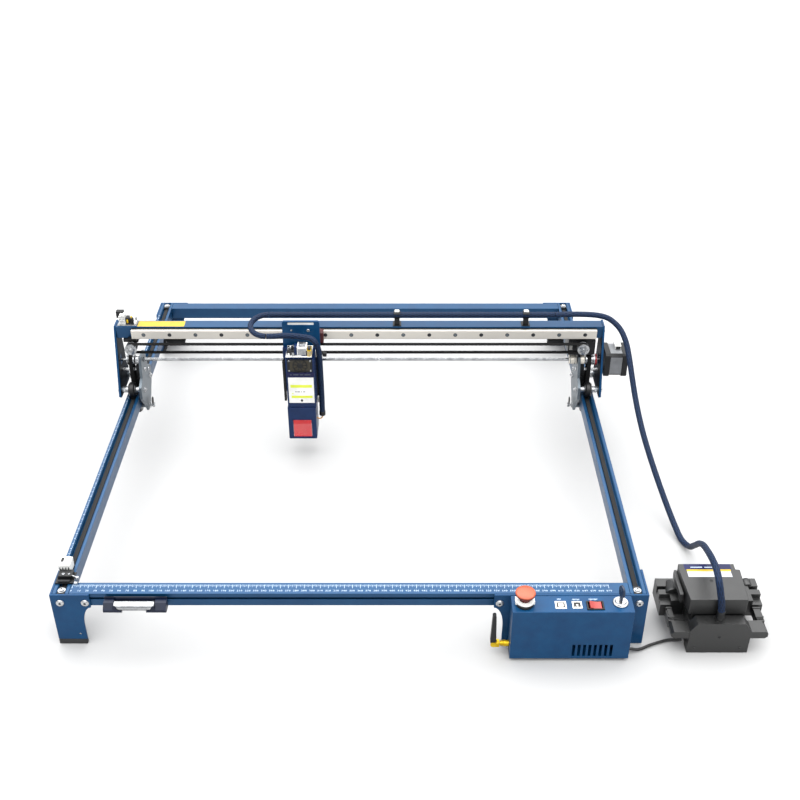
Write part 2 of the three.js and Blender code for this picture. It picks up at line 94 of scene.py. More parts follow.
# ---- materials ----
def linear(hex_colour):
    """An sRGB colour such as "2a5a8c" as the linear colour Blender works in."""
    parts = [int(hex_colour[i:i + 2], 16) / 255 for i in (0, 2, 4)]
    return [c / 12.92 if c <= 0.04045 else ((c + 0.055) / 1.055) ** 2.4 for c in parts] + [1.0]


def wire(tree, kind, inputs=None, **settings):
    """A new node with its settings, its inputs either values or other nodes' outputs."""
    made = tree.nodes.new(kind)
    for key, value in settings.items():
        setattr(made, key, value)
    for key, value in (inputs or {}).items():
        if isinstance(value, bpy.types.NodeSocket):
            tree.links.new(value, made.inputs[key])
        else:
            made.inputs[key].default_value = value
    return made


def ramp(tree, value, dark, light, lo=0.0, hi=1.0):
    """The value as a colour: dark up to lo, light from hi on."""
    made = wire(tree, "ShaderNodeValToRGB", {"Fac": value})
    for i, (place, colour) in enumerate(((lo, dark), (hi, light))):
        made.color_ramp.elements[i].position = place
        made.color_ramp.elements[i].color = colour
    return made.outputs[0]


GLOSS_DRIFT = 0.06                        # how far the roughness strays either way


def material(name, dark, light, rough, metallic=0.0, grain=45.0, bump=0.12, bump_grain=1400.0,
             stretch=(1, 1, 1), specular=0.5, **sockets):
    """A surface whose colour drifts from dark to light, with uneven gloss and a fine texture."""
    made = bpy.data.materials.new(name)
    made.use_nodes = True
    tree = made.node_tree
    shader = tree.nodes["Principled BSDF"]
    place = wire(tree, "ShaderNodeTexCoord").outputs["Object"]
    drawn = wire(tree, "ShaderNodeMapping", {"Vector": place, "Scale": stretch}).outputs[0]
    drift = wire(tree, "ShaderNodeTexNoise",
                 {"Vector": drawn, "Scale": grain, "Detail": 4.0, "Roughness": 0.6}).outputs["Fac"]
    gloss = wire(tree, "ShaderNodeMapRange", {
        "Value": drift, 1: 0.25, 2: 0.75, 3: max(0.02, rough - GLOSS_DRIFT),
        4: rough + GLOSS_DRIFT})
    fine = wire(tree, "ShaderNodeTexNoise",
                {"Vector": drawn, "Scale": bump_grain, "Detail": 2.0}).outputs["Fac"]
    dents = wire(tree, "ShaderNodeBump", {"Height": fine, "Strength": bump, "Distance": 0.0002})
    tree.links.new(ramp(tree, drift, linear(dark), linear(light), 0.3, 0.7),
                   shader.inputs["Base Color"])
    tree.links.new(gloss.outputs[0], shader.inputs["Roughness"])
    tree.links.new(dents.outputs[0], shader.inputs["Normal"])
    shader.inputs["Metallic"].default_value = metallic
    shader.inputs["Specular IOR Level"].default_value = specular
    for key, value in sockets.items():
        shader.inputs[key.replace("_", " ")].default_value = value
    return made


def striped(name, dark, light, rough, metallic, across, pitch, depth):
    """A surface of fine parallel layers or teeth, such as stacked steel sheets or a belt."""
    made = material(name, dark, light, rough, metallic)
    tree = made.node_tree
    place = wire(tree, "ShaderNodeTexCoord").outputs["Object"]
    bands = wire(tree, "ShaderNodeTexWave", {"Vector": place, "Scale": 0.314 / pitch},
                 wave_type="BANDS", bands_direction=across).outputs["Fac"]
    lines = wire(tree, "ShaderNodeBump", {"Height": bands, "Strength": 0.8, "Distance": depth})
    tree.links.new(lines.outputs[0], tree.nodes["Principled BSDF"].inputs["Normal"])
    return made


def braid(name, dark, light, turns, rise):
    """Crossed plaits wound round a hose: turns of them around it, one rise metres long."""
    made = material(name, dark, light, 0.6, bump=0.1, specular=0.22)
    tree = made.node_tree
    shader = tree.nodes["Principled BSDF"]
    uv = wire(tree, "ShaderNodeSeparateXYZ",
              {"Vector": wire(tree, "ShaderNodeTexCoord").outputs["UV"]})

    def maths(operation, a, b=0.0):
        return wire(tree, "ShaderNodeMath", {0: a, 1: b}, operation=operation).outputs[0]

    def winding(sign):
        around = maths("MULTIPLY", uv.outputs[0], 2 * math.pi * turns)
        along = maths("MULTIPLY", uv.outputs[1], sign * 2 * math.pi / rise)
        return maths("SINE", maths("ADD", around, along))

    weave = maths("MAXIMUM", winding(1), winding(-1))
    # the colour follows the weave's height, darker in the dips between the plaits: painted shade
    tree.links.new(ramp(tree, weave, linear(dark), linear(light)), shader.inputs["Base Color"])
    ridge = wire(tree, "ShaderNodeBump", {"Height": weave, "Strength": 0.7, "Distance": 0.0004})
    tree.links.new(ridge.outputs[0], shader.inputs["Normal"])
    return made


ANODISED = material("blue_anodised", "07365a", "0b3e62", 0.34, 0.4, bump=0.06)
POWDER = material("blue_powder_coat", "053256", "083c62", 0.36, 0.1, bump=0.2, bump_grain=2200,
                  specular=0.22)
PLATE_GREY = material("grey_plate", "50585f", "697279", 0.36, 0.7, bump=0.08)
GROUND = material("ground_steel", "b6b2ab", "d2cdc4", 0.36, 0.55, grain=9, stretch=(0.25, 1, 1),
                  bump=0.15, bump_grain=1800)
TURNED = material("turned_metal", "8a8c8e", "b6b8ba", 0.22, 0.95, grain=120)
ZINC = material("zinc_screw", "9ea0a2", "cccdce", 0.27, 0.85, grain=300)
# near-black grey: painted shade in screw sockets, holes and the key slot, and the colour of small
# dark parts on the driver board
HOLE_SHADE_AND_DARK_PARTS = material("hole_shade_and_dark_parts", "15161a", "2a2c30", 0.5, 0.3, grain=300)
NAVY = material("navy_anodised", "061c40", "0a264e", 0.38, 0.2, bump=0.08, specular=0.3)
NAVY_PLASTIC = material("navy_plastic", "020a1c", "04122c", 0.4, bump=0.1, specular=0.3)
BLACK = material("black_moulding", "060708", "0d0e10", 0.45, bump=0.18, specular=0.35)
BLACK_GLOSS = material("black_gloss", "08090b", "111216", 0.16)
BLACK_METAL = material("black_anodised", "090a0c", "121316", 0.4, 0.2, specular=0.4)
RUBBER = material("foot_rubber", "1a1b1d", "242527", 0.78, bump=0.35)
BELT = striped("belt_rubber", "030304", "08080a", 0.85, 0.0, "Y", 0.002, 0.0003)
BELT_PLAIN = material("belt_back", "050506", "0b0c0d", 0.8, specular=0.25)
LAMINATED = striped("motor_laminations", "6c6e71", "85878a", 0.38, 0.7, "X", 0.0007, 0.0001)
TYRE = material("wheel_tyre", "08080a", "111113", 0.4, specular=0.4)
BEARING = material("bearing_steel", "7e8083", "aeb0b2", 0.25, 0.9, grain=200)
WINE = material("end_seal", "3a1214", "501a1b", 0.45, grain=80)
WHITE_PAINT = material("white_print", "a9bacb", "bccbda", 0.5, grain=90)
WHITE_PART = material("white_connector", "c9c9c6", "e2e2de", 0.32)
CREAM = material("cream_coupling", "cfc9bd", "e6e0d4", 0.35, 0.3, grain=90)
YELLOW = material("yellow_label", "9a7e08", "ae920e", 0.4, grain=60)
LIME = material("yellow_green_stripe", "bcc828", "d0d840", 0.42)
LABEL_BLUE = material("dark_blue_label", "020730", "040c40", 0.4, specular=0.3)
LABEL_WHITE = material("label_white", "9a9ea4", "aeb2b8", 0.5)
OLIVE = material("grille_core", "1c180c", "2a2412", 0.5)
# near-black colour of the sheet inside the gantry's outer plates: painted shade between the plates
PLATE_SHADE = material("painted_plate_shade", "03060c", "070c16", 0.5, specular=0.15)
GOLD = material("gold_contact", "b8920e", "d4b420", 0.3, 0.7, grain=200)
RED_RING = material("red_ring", "7c1418", "961a1c", 0.35, grain=80)
# The e-stop's one red plastic in two copies: a dark red for its shaded sides, painted shade, and a
# lighter orange copy for its top, a painted highlight.
RED_CAP = material("red_button", "420302", "5c0604", 0.22, grain=60, specular=0.3)
CAP_HIGHLIGHT = material("button_top_painted_highlight", "8e3a1c", "a85030", 0.3, grain=40)
RED_ROCKER = material("red_rocker", "7e2018", "94302a", 0.3)
KEY_DARK = material("key_bow", "141e30", "1c2a40", 0.36, 0.2)
PUMP = material("pump_moulding", "060707", "0a0b0b", 0.42, bump=0.3, bump_grain=2600, specular=0.68)
CABLE = material("cable_sheath", "060607", "0e0e10", 0.5)
AMBER = material("amber_tube", "c88410", "e09c20", 0.25)
HOSE = braid("hose_braid", "031124", "082140", 8, 0.011)
# The window's emission makes it glow faintly: painted light, as the window is no lamp.
WINDOW = material("red_window", "9c070e", "b01018", 0.08, Alpha=0.75, Coat_Weight=0.5,
                  Emission_Color=(0.6, 0.01, 0.015, 1), Emission_Strength=0.25)

# ---- mesh drawing ----
CREASE = math.radians(38)                 # faces that meet at more than this keep a sharp edge
AXES = {"x": ((0, 1, 0), (0, 0, 1), (1, 0, 0)),
        "y": ((0, 0, 1), (1, 0, 0), (0, 1, 0)),
        "z": ((1, 0, 0), (0, 1, 0), (0, 0, 1))}


class Shape:
    """One mesh, drawn in millimetres in the machine's own axes. paint is a material's number."""

    def __init__(self):
        self.bm = bmesh.new()
        self.uv = self.bm.loops.layers.uv.new("UVMap")

    def add(self, points, faces, paint=0):
        made = [self.bm.verts.new(p) for p in points]
        for corners in faces:
            self.bm.faces.new([made[i] for i in corners]).material_index = paint
        return self

    def box(self, x, y, z, paint=0):
        """A block between two values on each axis."""
        points = [(a, b, c) for a in x for b in y for c in z]
        return self.add(points, [(0, 1, 3, 2), (4, 6, 7, 5), (0, 4, 5, 1), (2, 3, 7, 6),
                                 (0, 2, 6, 4), (1, 5, 7, 3)], paint)

    def turned(self, axis, centre, profile, sides=24, paint=0):
        """A turned piece: profile holds (radius, distance along the axis), closed at radius 0."""
        u, v, w = (Vector(a) for a in AXES[axis])
        points, rings = [], []
        for step, (r, along) in enumerate(profile):
            if step and step == len(profile) - 1 and profile[0] == (r, along):
                rings.append(rings[0])
                break
            count = 1 if r == 0 else sides
            rings.append(range(len(points), len(points) + count))
            for i in range(count):
                a = 2 * math.pi * i / sides
                out = u * r * math.cos(a) + v * r * math.sin(a)
                points.append(Vector(centre) + out + w * along)
        faces = []
        for one, two in zip(rings, rings[1:]):
            for i in range(sides):
                j = (i + 1) % sides
                quad = [one[i % len(one)], one[j % len(one)], two[j % len(two)], two[i % len(two)]]
                faces.append(list(dict.fromkeys(quad)))
        return self.add(points, faces, paint)

    def rod(self, axis, centre, r, lo, hi, sides=24, paint=0):
        """A plain round bar between two distances along the axis."""
        return self.turned(axis, centre, [(0, lo), (r, lo), (r, hi), (0, hi)], sides, paint)

    def ring(self, axis, centre, inner, outer, lo, hi, sides=24, paint=0):
        """A plain ring between two distances along the axis."""
        return self.turned(axis, centre, [(inner, lo), (outer, lo), (outer, hi), (inner, hi),
                                          (inner, lo)], sides, paint)

    def slab(self, axis, outline, lo, hi, paint=0):
        """An outline in the other two axes (in x, y, z order), raised from lo to hi."""
        n = len(outline)
        points = [spot(axis, a, b, c) for c in (lo, hi) for a, b in outline]
        faces = [list(range(n)), list(range(n, 2 * n))]
        faces += [(i, (i + 1) % n, n + (i + 1) % n, n + i) for i in range(n)]
        return self.add(points, faces, paint)

    def ribbon(self, path, axis, lo, hi, thick):
        """A flat belt along a path in the other two axes, lo to hi wide."""
        outline = offset(path, thick / 2) + offset(path, -thick / 2)[::-1]
        points = [spot(axis, a, b, c) for c in (lo, hi) for a, b in outline]
        n, m = len(path), len(outline)
        faces = []
        for i in range(n - 1):
            o = m - 1 - i
            faces += [(i, i + 1, o - 1, o), (m + i, m + i + 1, m + o - 1, m + o),
                      (i, i + 1, m + i + 1, m + i), (o, o - 1, m + o - 1, m + o)]
        faces += [(0, m - 1, 2 * m - 1, m), (n - 1, n, m + n, m + n - 1)]
        return self.add(points, faces)

    def screw(self, axis, centre, r, height, out=1, paint=0, socket=1):
        """A button-head screw standing out along the axis; its hexagon socket is a dark cap,
        painted shade in place of the recess.
        """
        dome = [(0, 0), (r, 0), (r, height * 0.45), (r * 0.86, height * 0.85), (r * 0.62, height),
                (0, height)]
        self.turned(axis, centre, [(a, b * out) for a, b in dome], 20, paint)
        hole = [(0, height - 0.3), (r * 0.36, height - 0.3), (r * 0.36, height + 0.05),
                (0, height + 0.05)]
        return self.turned(axis, centre, [(a, b * out) for a, b in hole], 6, socket)

    def moved(self, matrix):
        """The whole shape, moved by a matrix."""
        bmesh.ops.transform(self.bm, matrix=matrix, verts=self.bm.verts)
        return self

    def tube(self, path, radius, sides):
        """A round tube along a path, its ends closed, with UVs: turns around and metres along."""
        path = [Vector(p) for p in path]
        tangents = [(path[min(i + 1, len(path) - 1)] - path[max(i - 1, 0)]).normalized()
                    for i in range(len(path))]
        side = tangents[0].orthogonal().normalized()
        rings, along, run = [], [], 0.0
        for i, (p, t) in enumerate(zip(path, tangents)):
            side = (side - t * side.dot(t)).normalized()
            up = t.cross(side)
            run += (p - path[i - 1]).length / 1000 if i else 0
            along.append(run)
            rings.append([self.bm.verts.new(p + (side * math.cos(a) + up * math.sin(a)) * radius)
                          for a in (2 * math.pi * k / sides for k in range(sides))])
        for i in range(len(rings) - 1):
            for k in range(sides):
                j = (k + 1) % sides
                face = self.bm.faces.new((rings[i][k], rings[i][j],
                                          rings[i + 1][j], rings[i + 1][k]))
                spots = ((k, i), (k + 1, i), (k + 1, i + 1), (k, i + 1))
                for loop, (around, place) in zip(face.loops, spots):
                    loop[self.uv].uv = (around / sides, along[place])
        for ring in (rings[0], rings[-1]):
            self.bm.faces.new(ring)
        return self


def spot(axis, a, b, c):
    """The point c along the axis and a, b along the other two, which stay in x, y, z order."""
    return {"x": (c, a, b), "y": (a, c, b), "z": (a, b, c)}[axis]


def offset(path, away):
    """A plane path moved sideways by away."""
    out = []
    for i, (a, b) in enumerate(path):
        before, after = path[max(i - 1, 0)], path[min(i + 1, len(path) - 1)]
        t = Vector((after[0] - before[0], after[1] - before[1])).normalized()
        out.append((a - t.y * away, b + t.x * away))
    return out


def arc(centre, r, start, end, n):
    """Points round a plane arc, in degrees."""
    angles = [math.radians(start + (end - start) * i / n) for i in range(n + 1)]
    return [(centre[0] + r * math.cos(a), centre[1] + r * math.sin(a)) for a in angles]


def smooth_group():
    """Geometry nodes that shade a mesh smooth and keep its creases sharp."""
    group = bpy.data.node_groups.new("smooth_by_angle", "GeometryNodeTree")
    for way in ("INPUT", "OUTPUT"):
        group.interface.new_socket("Geometry", in_out=way, socket_type="NodeSocketGeometry")
    turn = wire(group, "GeometryNodeInputMeshEdgeAngle").outputs["Unsigned Angle"]
    wide = wire(group, "FunctionNodeCompare", {0: turn, 1: CREASE}, operation="GREATER_THAN")
    soft = wire(group, "GeometryNodeSetShadeSmooth",
                {"Geometry": wire(group, "NodeGroupInput").outputs[0]})
    hard = wire(group, "GeometryNodeSetShadeSmooth",
                {"Geometry": soft.outputs[0], "Selection": wide.outputs[0],
                 "Shade Smooth": False}, domain="EDGE")
    wire(group, "NodeGroupOutput", {0: hard.outputs[0]})
    return group


SMOOTH = smooth_group()


def shade(obj, edge):
    """Smooth faces, and edges rounded by edge millimetres."""
    obj.modifiers.new("smooth", "NODES").node_group = SMOOTH
    if edge:
        bevel = obj.modifiers.new("edge", "BEVEL")
        bevel.width = edge / 1000
        bevel.segments = 2
        bevel.limit_method = "ANGLE"
        bevel.angle_limit = CREASE
        bevel.harden_normals = True
        bevel.use_clamp_overlap = True


def piece(name, shape, body, paints, edge=0, replaces=()):
    """The shape as an object on a CAD body, with a slot for its finish and rounded edges."""
    bmesh.ops.recalc_face_normals(shape.bm, faces=shape.bm.faces)
    shape.moved(Matrix.Scale(0.001, 4) @ Matrix.Translation(SHIFT))
    mesh = bpy.data.meshes.new(name)
    shape.bm.to_mesh(mesh)
    shape.bm.free()
    for paint in [paints] if isinstance(paints, bpy.types.Material) else paints:
        mesh.materials.append(paint)
    obj = placed(name, mesh)
    shade(obj, edge)
    if body:
        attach(obj, body)
    if replaces:
        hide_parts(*replaces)
    return obj


def finish_node(name, paint, edge):
    """A CAD node that stays, with its finish and its edges slightly rounded."""
    obj = frame["nodes"][name]
    if obj.data.attributes.get("custom_normal"):
        obj.data.attributes.remove(obj.data.attributes["custom_normal"])
    obj.data.materials.clear()
    obj.data.materials.append(paint)
    weld = obj.modifiers.new("weld", "WELD")
    weld.merge_threshold = 0.000005
    flat = obj.modifiers.new("flat", "DECIMATE")
    flat.decimate_type = "DISSOLVE"
    flat.angle_limit = math.radians(0.5)
    shade(obj, edge)


# ---- hose and cable ----
HOSE_R, CABLE_R = 4.3, 1.9
SAMPLES = 24                              # on each span of a curve, before it is evened out


def curve(points, step=3.0):
    """A centripetal Catmull-Rom curve through the points, at even steps in millimetres."""
    pts = [Vector(p) for p in points]
    pts = [2 * pts[0] - pts[1]] + pts + [2 * pts[-1] - pts[-2]]
    line = []
    for p0, p1, p2, p3 in zip(pts, pts[1:], pts[2:], pts[3:]):
        t1 = (p1 - p0).length ** 0.5
        t2 = t1 + (p2 - p1).length ** 0.5
        t3 = t2 + (p3 - p2).length ** 0.5
        for i in range(SAMPLES):
            t = t1 + (t2 - t1) * i / SAMPLES
            a1 = p0.lerp(p1, t / t1)
            a2 = p1.lerp(p2, (t - t1) / (t2 - t1))
            a3 = p2.lerp(p3, (t - t2) / (t3 - t2))
            b1, b2 = a1.lerp(a2, t / t2), a2.lerp(a3, (t - t1) / (t3 - t1))
            line.append(b1.lerp(b2, (t - t1) / (t2 - t1)))
    line.append(pts[-2])
    total = sum((b - a).length for a, b in zip(line, line[1:]))
    count = max(2, round(total / step))
    out, run, target = [line[0]], 0.0, total / count
    for a, b in zip(line, line[1:]):
        length = (b - a).length
        while length and run + length >= target - 1e-6 and len(out) < count:
            out.append(a.lerp(b, (target - run) / length))
            target += total / count
        run += length
    return out + [line[-1]]


def cord(name, points, body=None, bend=None, replaces=(), step=3.0, radius=HOSE_R,
         paint=HOSE, sides=20):
    path = curve(points, step)
    obj = piece(name, Shape().tube(path, radius, sides), body, paint)
    if bend:
        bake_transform(obj)
    if replaces:
        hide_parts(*replaces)


HOSE_Z, HOSE_BACK = 215.5, 480            # the run on top of the beam
BARB = (462.4, -7)                        # the outlet on the pump, in x and y
TURN_X, TURN_R, TURN_DROP = -138.2, 26, 8.5
TURN_START = (TURN_X + 0.6, HOSE_BACK, HOSE_Z)
TURN_END = (TURN_X + 0.6, HOSE_BACK - 2 * TURN_R, HOSE_Z - TURN_DROP)
cord("hose_to_pump", [
    (301, HOSE_BACK, HOSE_Z), (330, 481.5, 215.4), (356, 482, 214.4), (371, 481.2, 212.8),
    (382.2, 479, 210.2), (390, 475.4, 206.4), (397.1, 470.2, 201.4), (402.5, 464, 195.8),
    (406.6, 456, 188.8), (409.8, 447, 180.4), (412, 435.6, 169.6), (413.8, 424, 158),
    (415.8, 411, 144), (418.6, 394, 126), (422.3, 369.4, 106),
    (428, 339.4, 84), (437.8, 301.7, 57), (448, 265, 33), (458.7, 222, 12), (464, 198, 6),
    (469.5, 178, 10), (468.6, 152, 34), (464.6, 123, 62), (461, 96, 82), (458, 68, 96),
    (455.5, 40, 107), (454, 14, 112), (453.8, -3, 107), (457, -9.5, 90), (460.6, -8.4, 75),
    (*BARB, 62)],
    bend=("gantry", "frame", (0, 455, 0), (0, 215, 0)), replaces=["hose_drop"])
cord("hose_along_beam", [TURN_START, (-40, HOSE_BACK, HOSE_Z), (60, HOSE_BACK, HOSE_Z),
                         (180, HOSE_BACK, HOSE_Z), (300.4, HOSE_BACK, HOSE_Z)],
     bend=("gantry", "hose_turn", (300.4, 0, 0), (TURN_START[0], 0, 0)),
     replaces=["hose_beam_run"])
cord("hose_u_turn",
     [(TURN_X + TURN_R * math.cos(a), HOSE_BACK - TURN_R + TURN_R * math.sin(a),
       HOSE_Z - TURN_DROP * (1 - math.sin(a)) / 2)
      for a in (math.radians(92 + 11 * i) for i in range(17))],
     body="hose_turn", replaces=["hose_bend"], step=2.5)
# the reach from the U-turn, which keeps four fifths of the head's travel, to the head itself.
# REACH is worked out for a smooth step that has risen to 0.8 at WAY of its length; the bend it
# fills in is not applied here
ELBOW = (-64, 430, 192.5)
WAY = 0.7129
REACH = (ELBOW[0] - TURN_END[0]) / (1 - WAY)
cord("hose_to_head", [TURN_END, (-126, 428.2, 207.05), (-113, 431.8, 205.9), (-96, 435.6, 203.2),
                      (-84, 436, 201.4), (-76, 435.3, 200.4), (-70, 433.2, 199), (-66, 431, 196.2),
                      ELBOW],
     bend=("gantry", "head", (ELBOW[0] - REACH, 0, 0), (ELBOW[0], 0, 0)), step=2.5)
cord("hose_down_module", [ELBOW, (-61, 430, 184.5), (-59.7, 430, 172), (-59.2, 430, 150),
                          (-58.8, 430, 110), (-59, 430, 67)],
     bend=("head", "laser", (0, 0, 191), (0, 0, 128)), replaces=["hose_head_run"],
     step=2.5)
cord("pump_lead", [(350.2, -15, 7), (365, -13, 3.2), (382, -4.4, 2.3), (407, 4.4, 2.3),
                   (416, 3.4, 3), (422.8, 3, 5)],
     body="frame", replaces=["pump_cable"], step=2.0, radius=CABLE_R,
     paint=CABLE, sides=14)

# ---- finishes of the CAD nodes that stay: paint, rounding of the edges, nodes ----
for paint, edge, names in (
        (ANODISED, 0.5, "front_rail rear_rail left_rail right_rail x_beam"),
        (POWDER, 0.5, "leg_front_left leg_front_right leg_rear_left leg_rear_right controller_case"
                      " outer_plate_left outer_plate_right head_plate"),
        (RUBBER, 0.8, "foot_front_left foot_front_right foot_rear_left foot_rear_right"),
        (BELT, 0.1, "left_drive_belt right_drive_belt"),
        (BELT_PLAIN, 0.1, "x_belt"),
        (GROUND, 0.25, "linear_guide"),
        (TURNED, 0.2, "sync_shaft"),
        (TURNED, 0.3, "focus_gauge"),
        (TURNED, 0.25, "x_drive_pulley x_idler_pulley"),
        (PLATE_GREY, 0.4, "inner_plate_left inner_plate_right"),
        (NAVY, 0.5, "laser_case laser_shield"),
        (WINDOW, 0.2, "shield_window"),
        (NAVY_PLASTIC, 0.4, "gauge_cradle"),
        (WINE, 0.4, "carriage"),
        (BLACK_METAL, 0.3, "idler_bracket"),
        (BLACK_METAL, 0.6, "x_motor y_motor"),
        (TYRE, 0.3, "wheel_front_left wheel_rear_left roller_left"
                    " wheel_front_right wheel_rear_right roller_right"),
        (BLACK_GLOSS, 0.2, "fan_rotor"),
        (BLACK, 0.4, "focus_knob"),
        (GOLD, 0.2, "antenna_connector antenna_knuckle"),
        (BLACK, 0.5, "antenna"),
        (PUMP, 0.9, "pump_base")):
    for name in names.split():
        finish_node(name, paint, edge)

# ---- printed rulers ----
DIGITS = {}


def digit(character):
    """One digit's flat outline as (points, faces), 1 high, from Blender's own font."""
    if character not in DIGITS:
        text = bpy.data.curves.new("digit", "FONT")
        text.body = character
        text.resolution_u = 2
        holder = placed("digit", text)
        flat = bpy.data.meshes.new_from_object(holder)
        DIGITS[character] = ([v.co.copy() for v in flat.vertices],
                             [tuple(p.vertices) for p in flat.polygons])
        bpy.data.objects.remove(holder)
    return DIGITS[character]


def number(shape, value, x, y, z, size):
    """A number printed flat, centred at a point."""
    text = str(value)
    for i, character in enumerate(text):
        points, faces = digit(character)
        left = (i - len(text) / 2) * 0.62 * size
        shape.add([(x + p.x * size + left, y + (p.y - 0.33) * size, z) for p in points], faces)


TOP = 83.4                                # upper face of the rails and of the controller
PRINT = 0.06                              # how far print stands above a face
RULER_LENGTH = 670
ZERO_X, ZERO_Y = -346.5, 48               # where the two rulers start


def tick(shape, x, y):
    """One printed mark, between two values on each axis."""
    z = TOP + PRINT
    shape.add([(x[0], y[0], z), (x[1], y[0], z), (x[1], y[1], z), (x[0], y[1], z)], [(0, 1, 2, 3)])


across, along = Shape(), Shape()
for mm in range(RULER_LENGTH + 1):
    kind = 0 if mm % 10 == 0 else 1 if mm % 5 == 0 else 2
    length, half, x = (6.6, 4.6, 3.2)[kind], (0.2, 0.14, 0.1)[kind], ZERO_X + mm
    tick(across, (x - half, x + half), (19.4 - length, 19.4))
    if kind == 0:
        number(across, mm, x, 8.4, TOP + PRINT, 3.9)
    length, half, y = (2.6, 1.9, 1.3)[kind], (0.24, 0.1, 0.1)[kind], ZERO_Y + mm
    tick(along, (-364.9 - length, -364.9), (y - half, y + half))
piece("ruler_across", across, "frame", WHITE_PAINT)
piece("ruler_along", along, "frame", WHITE_PAINT)

# ---- fasteners on the frame ----
SIDES = (("left", -1), ("right", 1))
RAIL_X = 358.9                            # middle of the side rails, left and right
shape = Shape()
for x, z in ((-360.1, 70.8), (-329.1, 70.8), (187, 70.3), (361, 70.3)):
    shape.screw("y", (x, 0, z), 5, 2.2, -1)
for x in (-360.1, -329.1, 329.1, 360.1):
    shape.screw("y", (x, 767, 70.8), 5, 2.2, 1)
for side in (-1, 1):
    for y in (14, 34, 733, 753):
        shape.screw("x", (side * 372, y, 73), 3.6, 1.8, side)
piece("leg_screws", shape, "frame", [ZINC, HOLE_SHADE_AND_DARK_PARTS])

shape = Shape()
for x in (-RAIL_X, RAIL_X):
    for y, near, far in ((10.6, 3.5, 18), (756.4, 749, 763.5)):
        shape.box((x - 4.5, x + 4.5), (near, far), (77.1 if near < 9 else 79, 81.6), 2)
        shape.rod("z", (x, y, 81.6), 4.7, 0, 0.7)
        shape.screw("z", (x, y, 82.3), 3.6, 2.2)
piece("rail_end_screws", shape, "frame", [ZINC, HOLE_SHADE_AND_DARK_PARTS, BLACK])

# ---- controller sockets, switch frame and buttons ----
DECK = TOP + 0.05                         # print on the controller, and the flat dark patches of the sockets' hollows, painted shade


def frame_ring(shape, x, y, z, rim):
    """A rectangular ring, rim wide, inside the given x, y and z ranges."""
    shape.box((x[0], x[0] + rim), y, z)
    shape.box((x[1] - rim, x[1]), y, z)
    shape.box((x[0] + rim, x[1] - rim), (y[0], y[0] + rim), z)
    shape.box((x[0] + rim, x[1] - rim), (y[1] - rim, y[1]), z)


shape = Shape()
# the USB socket's hollow as a flat black patch: painted shade
shape.box((253.4, 266.2), (-23.4, -11.4), (TOP, DECK), 1)
frame_ring(shape, (253, 266.5), (-23.8, -11), (TOP, TOP + 0.7), 1.7)
shape.box((256.6, 263), (-20, -14.6), (TOP, TOP + 0.6), 2)
shape.box((257.6, 262), (-18.8, -15.8), (TOP + 0.5, TOP + 0.8))
piece("usb_socket", shape, "frame", [WHITE_PART, BLACK, CREAM], edge=0.1)
shape = Shape()
frame_ring(shape, (273.9, 285.8), (-23.4, -11.2), (TOP, TOP + 0.8), 1.6)
# the power socket's hollow as a flat dark patch: painted shade
shape.box((275.4, 284.3), (-21.9, -12.7), (TOP, DECK), 1)
shape.ring("z", (279.9, -17.6, TOP), 3.4, 4.3, 0, 0.6, 28, 1)
shape.rod("z", (279.9, -17.6, TOP), 1.3, 0, 0.7, 16)
shape.box((276.4, 283.4), (-22, -20.2), (TOP, TOP + 0.6))
piece("power_socket", shape, "frame", [WHITE_PART, BLACK_GLOSS], edge=0.1)
shape = Shape()
frame_ring(shape, (291.4, 312.6), (-26, -11), (TOP, TOP + 1.5), 1.9)
piece("rocker_bezel", shape, "frame", BLACK, edge=0.35)
shape = Shape()
shape.slab("y", [(-6.3, -4), (6.3, -4), (7.4, 4.2), (6.6, 4.9), (3, 4.1), (0, 3.9), (-3, 4.1),
                 (-6.6, 4.9), (-7.4, 4.2)], -6.1, 6.1)
shape.moved(Matrix.Translation((302, -18.5, 81)) @ Matrix.Rotation(math.radians(7), 4, "Y"))
piece("rocker_cap", shape, "rocker", RED_ROCKER, edge=0.35, replaces=["rocker"])
shape = Shape()
for x, y, wide in ((258.8, -6.5, 5), (279.5, -6.9, 9), (300.7, -6.7, 11)):
    shape.box((x - wide / 2, x + wide / 2), (y - 0.35, y + 0.35), (TOP, DECK))
    shape.box((x - wide / 3, x - wide / 6), (y - 1.6, y - 1.1), (TOP, DECK))
    shape.box((x + wide / 8, x + wide / 3), (y - 1.6, y - 1.1), (TOP, DECK))
piece("socket_marks", shape, "frame", WHITE_PAINT)

ESTOP = (215.8, -15.3, TOP)
shape = Shape()
shape.turned("z", ESTOP, [(7.2, 0.3), (11.2, 0.3), (11.2, 3.2), (9.6, 4.2), (7.2, 4.2),
                          (7.2, 0.3)], 48, 1)
shape.turned("z", ESTOP, [(7, 4.2), (9.9, 4.2), (11.6, 5.6), (11.9, 7.4), (11.2, 8.3), (7, 8.3),
                          (7, 4.2)], 48)
for x in (ESTOP[0] - 10.6, ESTOP[0] + 10.6):
    shape.box((x - 1.3, x + 1.3), (ESTOP[1] - 5, ESTOP[1] + 5), (TOP + 3.4, TOP + 8))
piece("estop_base", shape, "frame", [WHITE_PART, BLACK], edge=0.25,
      replaces=["estop_collar"])
shape = Shape()
shape.turned("z", ESTOP, [(0, 4.6), (6.5, 4.6), (6.5, 12.6), (9.4, 12.9), (10.2, 13.4),
                          (10, 14), (11, 14.6), (11.4, 15.4), (11.1, 15.9), (12.1, 16.4),
                          (12.4, 17.2), (12.4, 18.8)], 56)
# the top of the dome in the lighter orange copy: a painted highlight
shape.turned("z", ESTOP, [(12.4, 18.8), (12.1, 19.7), (11.2, 20.3), (9, 20.9), (5.5, 21.3),
                          (0, 21.4)], 56, 1)
piece("estop_mushroom", shape, "estop_button", [RED_CAP, CAP_HIGHLIGHT],
      replaces=["estop_button"])

